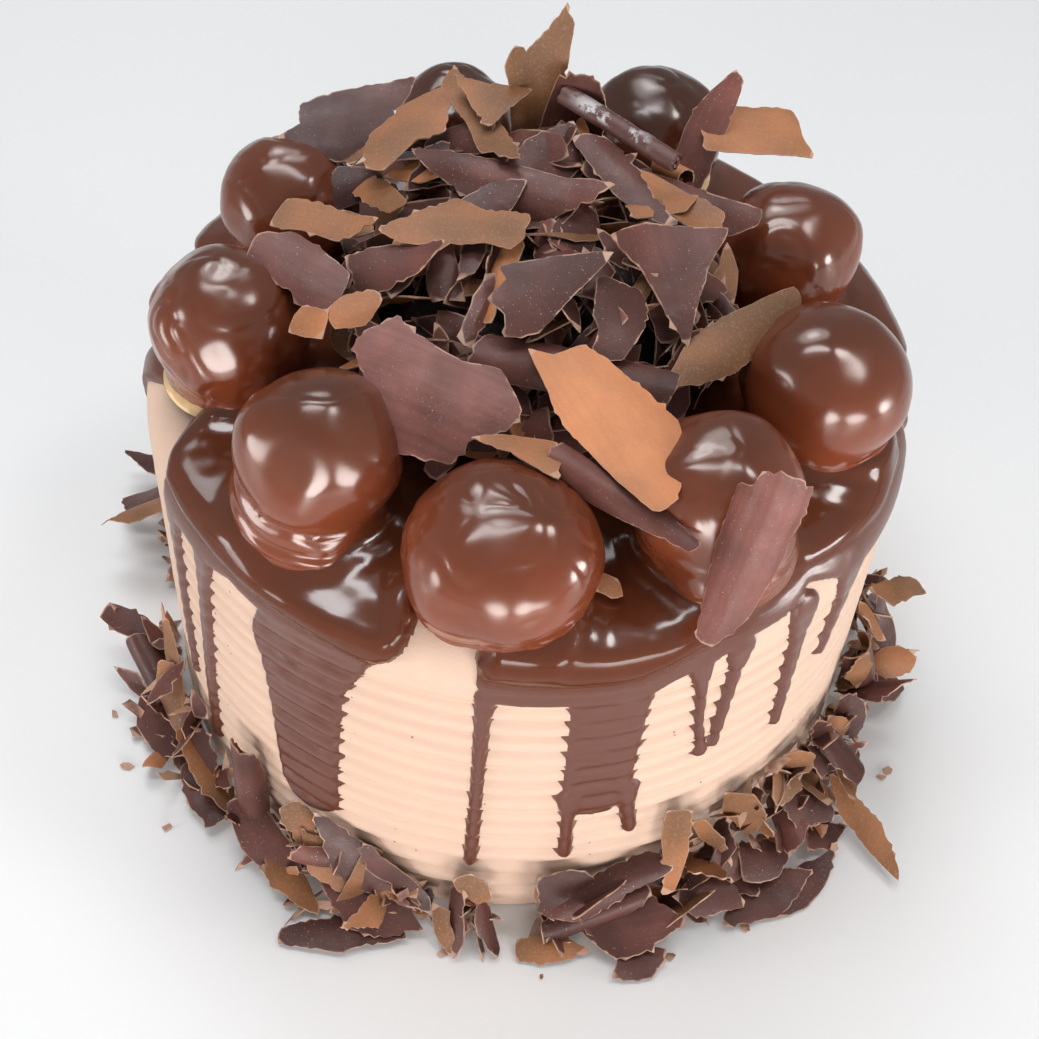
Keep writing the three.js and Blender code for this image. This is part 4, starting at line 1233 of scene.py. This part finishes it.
def add_shard(
    target, start, end, roll, curl, arch, face_up, tint, corners, seed, settings, foot=False, small=False
):
    """One broken plate of chocolate, waved, folded and curled, added to the target bmesh."""
    draw = random.Random(seed)
    tight = abs(curl) > TIGHT_CURL
    steps = SMALL_STEPS if small else CURL_STEPS if tight else PLATE_STEPS
    bm, length, width = flat_plate(corners, draw, steps, settings.thickness / MM, face_up)
    middle = sum(vertex.co.z for vertex in bm.verts) / len(bm.verts)
    layer = bm.verts.layers.float.new("tint")
    across = bm.verts.layers.float.new("across")
    basis = shard_basis(start, end, roll)
    shift = Vector((draw.uniform(0, 50), draw.uniform(0, 50), 0))
    steep = 0.0 if small or tight else draw.uniform(-0.1, 0.4)
    lean = draw.uniform(-0.7, 0.7)
    fold = Vector((math.cos(lean), math.sin(lean), 0))
    fold_at = draw.uniform(0.0, 0.3) * length
    # Painted shade: a slope of tint along the shard, lighter at one end and darker at the other.
    fade = draw.choice([-1, 1]) * draw.uniform(0.1, 0.45)
    for vertex in bm.verts:
        flat = vertex.co.xy.to_3d()
        wave = 0.5 * noise.noise(flat / 14 + shift) + 0.07 * noise.noise(flat / 3.5 + shift)
        thin = 0.75 + 0.5 * noise.noise(flat / 6 - shift)
        beyond = flat.dot(fold) - fold_at
        wave += steep * 0.5 * (beyond + math.hypot(beyond, 1.6))
        local = Vector((flat.x, flat.y, wave + (vertex.co.z - middle) * thin))
        vertex[across] = flat.y + 0.6 * noise.noise(flat / 9 - 2 * shift) + 7 * shift.x
        vertex.co = basis @ bent(local, curl, arch, width, length)
        # The tint is the shard's own, plus painted shade along its length and a random tone.
        painted_shade_and_tone = fade * flat.x / length + 0.3 * noise.noise(flat / 9 + 2 * shift)
        vertex[layer] = min(1, max(0, tint + painted_shade_and_tone))
    if foot:
        settle(bm)
    mesh = mesh_from(bm, "shard")
    target.from_mesh(mesh)
    bpy.data.meshes.remove(mesh)


def settle(bm):
    """Moves a shard up off the floor and out of the cake's side."""
    up = max(0.0, 0.2 - min(vertex.co.z for vertex in bm.verts))
    inner = min((vertex.co for vertex in bm.verts), key=lambda place: place.xy.length)
    out = max(0.0, CAKE_RADIUS + 1.0 - inner.xy.length)
    step = (inner.xy.normalized() * out).to_3d() + Vector((0, 0, up))
    bmesh.ops.translate(bm, verts=bm.verts[:], vec=step)


def scrap_corners(draw, length, width):
    """Corners of a random broken plate of about this size."""
    count = draw.randint(4, 6)
    corners = []
    for k in range(count):
        turn = 2 * math.pi * (k + draw.uniform(-0.35, 0.35)) / count
        reach = draw.uniform(0.6, 1.25)
        corners.append((0.5 * length * reach * math.cos(turn), 0.5 * width * reach * math.sin(turn)))
    return corners


def strip_corners(draw, length, width):
    """Corners of a placed shard: a strip with uneven ends."""
    half_length, half = length / 2, width / 2
    return [
        (-half_length, -half * draw.uniform(-0.4, 0.9)),
        (-half_length * draw.uniform(0.7, 1), half * draw.uniform(0.1, 1)),
        (half_length * draw.uniform(-0.5, -0.1), half * draw.uniform(0.7, 1)),
        (half_length * draw.uniform(0, 0.4), half),
        (half_length * draw.uniform(0.6, 1), half * draw.uniform(0.1, 0.9)),
        (half_length, -half * draw.uniform(-0.5, 0.6)),
        (half_length * draw.uniform(0.1, 0.6), -half * draw.uniform(0.6, 1)),
        (half_length * draw.uniform(-0.5, 0), -half),
    ]


def drawn_size(draw, limits):
    """Random length and width of a scrap."""
    return [draw.uniform(*pair) for pair in limits]


def ends_of(middle, along, length):
    """Both ends of a shard's middle line."""
    return middle - 0.5 * length * along, middle + 0.5 * length * along


def heap_height(radius):
    """Height of the heap's outside at a distance from the axis."""
    share = min(1.0, radius / HEAP_RADIUS)
    return CROWN_FLOOR + HEAP_RISE * math.sqrt(1 - share ** 3)


def clear_of_buns(place, margin):
    """True where a place lies outside every profiterole."""
    return all((place - bun_middle(bun)).length >= bun.radius + margin for bun in PROFITEROLES)


def build_heap_core():
    """Packed scraps in the middle of the heap, well under its outer shards."""
    floor = CROWN_FLOOR - 1
    outline = [(0, floor)]
    for share in CORE_SHARES:
        outline.append((CORE_RADIUS * share, floor + CORE_RISE * math.sqrt(1 - share ** 3)))
    bm = spun(outline, CORE_STEPS)
    bmesh.ops.subdivide_edges(bm, edges=bm.edges[:], cuts=1, use_grid_fill=True)
    for vertex in bm.verts:
        if vertex.co.z > CROWN_FLOOR:
            lump = noise.noise(vertex.co / 5) + 0.7 * noise.noise(vertex.co / 2.2)
            outward = Vector((vertex.co.x / CORE_SPREAD, vertex.co.y / CORE_SPREAD, 0.6))
            vertex.co += outward * CORE_LUMP * lump
    face_outwards(bm)
    return bm


def add_heap_scraps(bm, settings):
    """Smaller shards between, behind and under the heap's large ones."""
    draw = random.Random(HEAP_SEED)
    made = 0
    while made < settings.heap_scraps:
        angle = draw.uniform(0, 2 * math.pi)
        kind = ("deep", "shallow", "side")[made % 3]
        if kind == "side":
            distance = draw.uniform(*SIDE_DISTANCE)
        else:
            distance = SCRAP_REACH * math.sqrt(draw.random())
        outward = Vector((math.cos(angle), math.sin(angle), 0))
        x, y = distance * math.cos(angle), distance * math.sin(angle)
        if kind == "deep":
            depth = draw.uniform(*DEEP)
        else:
            depth = draw.uniform(*(SHALLOW_BACK if y > BACK_FROM else SHALLOW))
        z = heap_height(distance) - depth
        if kind == "side":
            z = CROWN_FLOOR + draw.uniform(*SIDE_HEIGHT)
        middle = Vector((x, y, z))
        if not clear_of_buns(middle, 2 if kind == "side" else 3):
            continue
        length, width = drawn_size(draw, HEAP_SCRAP)
        heading = draw.uniform(0, math.pi)
        slope = -0.9 * (distance / HEAP_RADIUS) ** 2
        along = Vector((math.cos(heading), math.sin(heading), 0))
        along.z = slope * along.dot(outward) + draw.uniform(-0.45, 0.45)
        roll = draw.choice([-1, 1]) * (draw.uniform(45, 85) if kind == "deep" else draw.uniform(0, 55))
        if kind == "side":
            along = Vector((-math.sin(angle), math.cos(angle), draw.uniform(-0.9, 0.9)))
            roll = draw.uniform(15, 75)
        along.normalize()
        # Painted shade: the deep scraps mostly show their dark face and get darker tints, to darken the
        # heap's gaps.
        face_up = MILK if draw.random() < (0.06 if kind == "deep" else 0.18) else DARK
        tint = 0.4 * draw.random() if kind == "deep" else draw.random() ** 1.8
        add_shard(
            bm, *ends_of(middle, along, length), roll, draw.choice([15, 30, 50, 120]), draw.uniform(0, 25),
            face_up, tint, scrap_corners(draw, length, width), HEAP_SCRAP_SEEDS + made, settings,
            small=True,
        )
        made += 1


def build_heap_shards(settings):
    """The heap's shards: large ones in their places, then the smaller ones."""
    bm = bmesh.new()
    for index, row in enumerate(HEAP_SHARDS):
        add_shard(bm, *row, HEAP_SHARD_SEEDS + index, settings)
    add_heap_scraps(bm, settings)
    return bm


def build_roll():
    """A tight roll with a pale bloom along its top."""
    start, end = (Vector(point) for point in ROLL)
    length = (end - start).length
    bm = bmesh.new()
    points = []
    for k in range(ROLL_STEPS + 1):
        turn = 2 * math.pi * ROLL_TURNS * k / ROLL_STEPS + ROLL_START
        radius = ROLL_RADIUS * (0.35 + 0.65 * k / ROLL_STEPS)
        points.append(bm.verts.new((-length / 2, radius * math.cos(turn), radius * math.sin(turn))))
    edges = [bm.edges.new(pair) for pair in zip(points, points[1:])]
    for step in range(ROLL_ROUNDS):
        grown = bmesh.ops.extrude_edge_only(bm, edges=edges)["geom"]
        moved = {item for item in grown if isinstance(item, bmesh.types.BMVert)}
        bmesh.ops.translate(bm, verts=list(moved), vec=(length / ROLL_ROUNDS, 0, 0))
        lines = [item for item in grown if isinstance(item, bmesh.types.BMEdge)]
        edges = [edge for edge in lines if all(vertex in moved for vertex in edge.verts)]
    face_outwards(bm)
    bmesh.ops.solidify(bm, geom=bm.faces[:], thickness=ROLL_THICKNESS)
    face_outwards(bm)
    layer = bm.verts.layers.float.new("bloom")
    basis = shard_basis(start, end, 0)
    for vertex in bm.verts:
        ring = vertex.co.yz.length
        upward = vertex.co.z / max(ring, 1e-6)
        middle = 1 - eased(abs(vertex.co.x + 2), 7, 14)
        vertex[layer] = eased(upward, 0.2, 0.7) * middle * eased(ring, 2.6, 3.2)
        dent = 1 + 0.1 * noise.noise(vertex.co / 4)
        along = vertex.co.x + 0.8 * noise.noise(vertex.co)
        vertex.co = basis @ Vector((along, vertex.co.y * dent, vertex.co.z * dent))
    return bm


def add_foot_scraps(bm, settings):
    """Scraps heaped between the shards at the foot."""
    draw = random.Random(BANK_SEED)
    made = 0
    for first, last, height, large in FOOT_BANKS:
        for k in range(large + round((last - first) * settings.foot_scraps / 100)):
            share = draw.random()
            angle = first + (last - first) * share
            full = math.sqrt(math.sin(math.pi * (0.06 + 0.88 * share)))
            rise = draw.random() ** 1.4
            length, width = drawn_size(draw, FOOT_SCRAP)
            if k < large:
                length, width = drawn_size(draw, LARGE_SCRAP)
            out = BANK_GAP + (1 - rise) * BANK_WIDTH * draw.uniform(0.2, 1) * full
            middle = polar(angle, CAKE_RADIUS + out, 1 + (height - 6) * rise * full)
            heading = draw.uniform(0, 2 * math.pi)
            along = Vector((math.cos(heading), math.sin(heading), draw.uniform(-1.1, 1.1))).normalized()
            face_up = MILK if draw.random() < BANK_MILK else DARK
            add_shard(
                bm, *ends_of(middle, along, length), draw.uniform(-70, 70), draw.choice([15, 30, 60, 150]),
                draw.uniform(0, 25), face_up, 0.45 * draw.random(), scrap_corners(draw, length, width),
                FOOT_SCRAP_SEEDS + made, settings, foot=True, small=k >= large,
            )
            made += 1


def build_foot_shards(settings):
    """Shards piled round the foot: the ones that show in their places, then the scraps."""
    bm = bmesh.new()
    for index, row in enumerate(FOOT_SHARDS):
        angle, distance, height, end_angle, end_distance, end_height, width, roll, curl, face_up = row
        start, end = polar(angle, distance, height), polar(end_angle, end_distance, end_height)
        seed = FOOT_SHARD_SEEDS + index
        draw = random.Random(seed)
        corners = strip_corners(draw, (end - start).length, width)
        arch, tint = draw.uniform(-5, 20), draw.uniform(0, 0.25)
        add_shard(bm, start, end, roll, curl, arch, face_up, tint, corners, seed, settings, foot=True)
    add_foot_scraps(bm, settings)
    return bm


def build_crumbs(settings):
    """Small flakes on the floor round the foot."""
    bm = bmesh.new()
    draw = random.Random(CRUMB_SEED)
    for k in range(settings.crumbs):
        first, last, height, large = draw.choice(FOOT_BANKS)
        place = polar(draw.uniform(first - 2, last + 2), CAKE_RADIUS + 5 + 20 * draw.random() ** 1.5, 0.6)
        length = draw.uniform(1.6, 4.2)
        heading = draw.uniform(0, 2 * math.pi)
        along = 0.5 * length * Vector((math.cos(heading), math.sin(heading), draw.uniform(-0.15, 0.15)))
        corners = scrap_corners(draw, length, 0.7 * length)
        face_up = draw.choice([DARK, DARK, MILK])
        add_shard(
            bm, place - along, place + along, draw.uniform(-15, 15), 0, 0, face_up, draw.random(), corners,
            CRUMB_SEEDS + k, settings, foot=True, small=True,
        )
    return bm


def colour_of(name, description, default):
    """A setting for a colour."""
    return FloatVectorProperty(name=name, description=description, default=default, subtype="COLOR")


def length_of(name, description, default):
    """A setting for a length in metres."""
    return FloatProperty(name=name, description=description, default=default, unit="LENGTH", precision=4)


def count_of(name, description, default, least=0):
    """A setting for a number of things."""
    return IntProperty(name=name, description=description, default=default, min=least)


class FrostingSettings(bpy.types.PropertyGroup):
    """Sizes and colours of the frosting."""

    ridges: count_of("Ridges", "Comb ridges up the side", 15, 4)
    ridge_depth: length_of("Ridge Depth", "Depth of a comb groove", 0.0013)
    colour: colour_of("Colour", "Buttercream", (0.60, 0.418, 0.318))
    # Colour of the painted shade in the comb's grooves.
    groove_shade_colour: colour_of("Groove", "Buttercream in the grooves", (0.57, 0.36, 0.27))
    speck_colour: colour_of("Speck", "Specks in the buttercream", (0.09, 0.04, 0.025))


class GanacheSettings(bpy.types.PropertyGroup):
    """Sizes and colours of the ganache."""

    pool_depth: length_of("Pool Depth", "Depth of the pool on top", 0.003)
    lobe_depth: length_of("Lobe Depth", "Depth of the lobes at the rim", 0.0025)
    lip: length_of("Lip", "Extra depth of a lobe's rounded edge", 0.0003)
    drip_depth: length_of("Drip Depth", "Depth of a drip on the side", 0.0012)
    colour: colour_of("Colour", "Where it is deep", (0.092, 0.023, 0.009))
    thin_colour: colour_of("Thin Colour", "Where it has run thin", (0.105, 0.031, 0.018))


class ProfiteroleSettings(bpy.types.PropertyGroup):
    """Colours of the profiteroles."""

    coat_colour: colour_of("Coat", "Dipped chocolate", (0.08, 0.023, 0.011))
    low_colour: colour_of("Low Coat", "Dipped chocolate low down", (0.18, 0.040, 0.015))
    crust_colour: colour_of("Crust", "Baked choux", (0.88, 0.61, 0.32))


class ShardSettings(bpy.types.PropertyGroup):
    """Sizes, numbers and colours of the shards."""

    thickness: length_of("Thickness", "Thickness of a shard", 0.0005)
    heap_scraps: count_of("Heap Scraps", "Smaller shards in the heap", 345)
    foot_scraps: count_of("Foot Scraps", "Scraps in each hundred degrees of the foot", 130)
    crumbs: count_of("Crumbs", "Small flakes on the floor", 45)
    dark_colour: colour_of("Dark Face", "Plum brown face", (0.145, 0.053, 0.042))
    milk_colour: colour_of("Milk Face", "Copper brown face", (0.58, 0.21, 0.077))
    tan_colour: colour_of("Tan Face", "Dullest milk face", (0.15, 0.063, 0.022))
    edge_colour: colour_of("Edge", "Broken edge", (0.50, 0.31, 0.22))
    speck_colour: colour_of("Speck", "Dust on the dark faces", (0.46, 0.33, 0.27))


class StageSettings(bpy.types.PropertyGroup):
    """Floor, light and camera."""

    floor_colour: colour_of("Floor", "Pale floor", (0.69, 0.686, 0.68))
    lens: FloatProperty(name="Lens", description="Focal length in millimetres", default=CAMERA_LENS)
    lamp_power: FloatProperty(name="Lamps", description="Base power of the lamps", default=4.0, unit="POWER")
    front_light: FloatProperty(name="Front Light", description="Brightness in front", default=0.6)
    back_light: FloatProperty(name="Back Light", description="Brightness behind and overhead", default=0.3)


class CakeSettings(bpy.types.PropertyGroup):
    """Everything that a user would change."""

    frosting: PointerProperty(type=FrostingSettings)
    ganache: PointerProperty(type=GanacheSettings)
    profiteroles: PointerProperty(type=ProfiteroleSettings)
    shards: PointerProperty(type=ShardSettings)
    stage: PointerProperty(type=StageSettings)


class CAKE_OT_frosting(bpy.types.Operator):
    """Build the combed, frosted cake"""

    bl_idname = "cake.frosting"
    bl_label = "Frosting"

    def execute(self, context):
        settings = context.scene.cake.frosting
        finish = frosting_finish(settings)
        piece_from(build_frosting(settings), "frosting", [finish], ["frosted_cake"])
        return {"FINISHED"}


class CAKE_OT_ganache(bpy.types.Operator):
    """Pour the ganache over the top and down the side"""

    bl_idname = "cake.ganache"
    bl_label = "Ganache"

    def execute(self, context):
        settings = context.scene.cake.ganache
        bm = build_ganache(settings, context.scene.cake.frosting)
        piece_from(bm, "poured_ganache", [ganache_finish(settings)], ["ganache"])
        return {"FINISHED"}


class CAKE_OT_profiteroles(bpy.types.Operator):
    """Set the ring of dipped profiteroles"""

    bl_idname = "cake.profiteroles"
    bl_label = "Profiteroles"

    def execute(self, context):
        settings = context.scene.cake.profiteroles
        coat = coat_finish(settings)
        crust = crust_finish(settings)
        for index, bun in enumerate(PROFITEROLES):
            number = index + 1
            node = f"profiterole_{number}"
            piece_from(build_bun(bun, index), f"choux_{number}", [crust], [f"{node}_bun"])
            name = f"dipped_coat_{number}"
            piece_from(build_coat(bun, index), name, [coat], [f"{node}_coat"])
        return {"FINISHED"}


class CAKE_OT_heap(bpy.types.Operator):
    """Heap the shards in the middle of the ring"""

    bl_idname = "cake.heap"
    bl_label = "Shard Heap"

    def execute(self, context):
        settings = context.scene.cake.shards
        heap = ["shard_heap"]
        piece_from(build_heap_core(), "shaded_heap_core", [core_shade_finish(settings)], heap)
        finishes = shard_finishes(settings)
        piece_from(build_heap_shards(settings), "heap_shards", finishes, heap, SHARP)
        piece_from(build_roll(), "bloomed_roll", [bloomed_finish(settings)], heap, SHARP)
        curl = bmesh.new()
        add_shard(curl, *LEANING_CURL, CURL_SEED, settings)
        piece_from(curl, "leaning_curl_shard", finishes, ["leaning_curl"], SHARP)
        return {"FINISHED"}


class CAKE_OT_foot(bpy.types.Operator):
    """Pile the shards and crumbs round the foot"""

    bl_idname = "cake.foot"
    bl_label = "Foot Shards"

    def execute(self, context):
        settings = context.scene.cake.shards
        finishes = shard_finishes(settings)
        piece_from(build_foot_shards(settings), "foot_shards", finishes, FOOT_NODES, SHARP)
        piece_from(build_crumbs(settings), "crumbs", finishes, FOOT_NODES, SHARP)
        return {"FINISHED"}


def add_floor(settings):
    """The floor, which belongs to the stage and not to the cake."""
    bm = bmesh.new()
    bmesh.ops.create_grid(bm, x_segments=8, y_segments=8, size=FLOOR_SIZE)
    mesh = mesh_from(bm, "floor")
    mesh.materials.append(floor_finish(settings))
    floor = add_object("floor", mesh)


def add_lamp(name, place, size, power, colour):
    """A soft oval lamp that faces the cake and doesn't show itself."""
    data = bpy.data.lights.new(name, "AREA")
    data.shape = "ELLIPSE"
    data.size, data.size_y = size
    data.energy = power
    data.color = colour
    lamp = add_object(name, data)
    lamp.location = place
    lamp.visible_camera = False
    lamp.rotation_euler = (Vector(LAMP_TARGET) - Vector(place)).to_track_quat("-Z", "Y").to_euler()


def add_room(settings):
    """Light from all round: bright and warm low down in front, dim and bluish behind and overhead."""
    world = bpy.data.worlds.new("room")
    world.use_nodes = True
    room = Nodes(world.node_tree, "Generated")
    direction = room.parts()
    in_front = room.range(direction["Y"], 0.7, -0.5)
    low_down = room.range(direction["Z"], 0.7, 0.05)
    share = room.math("MULTIPLY", in_front, low_down)
    background = world.node_tree.nodes["Background"].inputs
    room.link(room.mix(share, BACK_TINT, FRONT_TINT), background["Color"])
    room.link(room.range(share, 0, 1, settings.back_light, settings.front_light), background["Strength"])
    bpy.context.scene.world = world


def add_camera(settings):
    """The camera, at the photograph's angle."""
    pitch, roll = math.radians(CAMERA_PITCH), math.radians(CAMERA_ROLL)
    ahead = Vector((0, math.cos(pitch), -math.sin(pitch)))
    level = Vector((1, 0, 0))
    upright = level.cross(ahead)
    right = level * math.cos(roll) + upright * math.sin(roll)
    up = upright * math.cos(roll) - level * math.sin(roll)
    data = bpy.data.cameras.new("camera")
    data.lens = settings.lens
    data.sensor_width = 36
    data.clip_start = 0.01
    camera = add_object("camera", data)
    turned = Matrix((right, up, -ahead)).transposed().to_4x4()
    camera.matrix_world = Matrix.Translation(Vector(CAMERA_PLACE) * MM) @ turned
    bpy.context.scene.camera = camera


class CAKE_OT_stage(bpy.types.Operator):
    """Set the floor, the light and the camera"""

    bl_idname = "cake.stage"
    bl_label = "Stage"

    def execute(self, context):
        settings = context.scene.cake.stage
        add_floor(settings)
        add_room(settings)
        for name, place, size, share, colour in LAMPS:
            add_lamp(name, place, size, share * settings.lamp_power, colour)
        add_camera(settings)
        context.scene.view_settings.view_transform = "Standard"
        return {"FINISHED"}


class CAKE_PT_panel(bpy.types.Panel):
    """Settings and steps of the cake"""

    bl_idname = "CAKE_PT_panel"
    bl_label = "Profiterole Cake"
    bl_space_type = "VIEW_3D"
    bl_region_type = "UI"
    bl_category = "Cake"

    def draw(self, context):
        settings = context.scene.cake
        for name in CakeSettings.__annotations__:
            box = self.layout.box()
            box.label(text=name.capitalize())
            group = getattr(settings, name)
            for value in group.__annotations__:
                box.prop(group, value)
        for operator in STEPS:
            self.layout.operator(operator.bl_idname)


STEPS = [
    CAKE_OT_frosting, CAKE_OT_ganache, CAKE_OT_profiteroles, CAKE_OT_heap, CAKE_OT_foot, CAKE_OT_stage,
]
CLASSES = [
    FrostingSettings, GanacheSettings, ProfiteroleSettings, ShardSettings, StageSettings, CakeSettings,
    *STEPS, CAKE_PT_panel,
]


def register():
    for cls in CLASSES:
        bpy.utils.register_class(cls)
    bpy.types.Scene.cake = PointerProperty(type=CakeSettings)


def unregister():
    del bpy.types.Scene.cake
    for cls in reversed(CLASSES):
        bpy.utils.unregister_class(cls)


def main():
    """Builds the cake piece by piece."""
    register()
    bpy.ops.cake.frosting()
    bpy.ops.cake.ganache()
    bpy.ops.cake.profiteroles()
    bpy.ops.cake.heap()
    bpy.ops.cake.foot()
    bpy.ops.cake.stage()


if __name__ == "__main__":
    main()
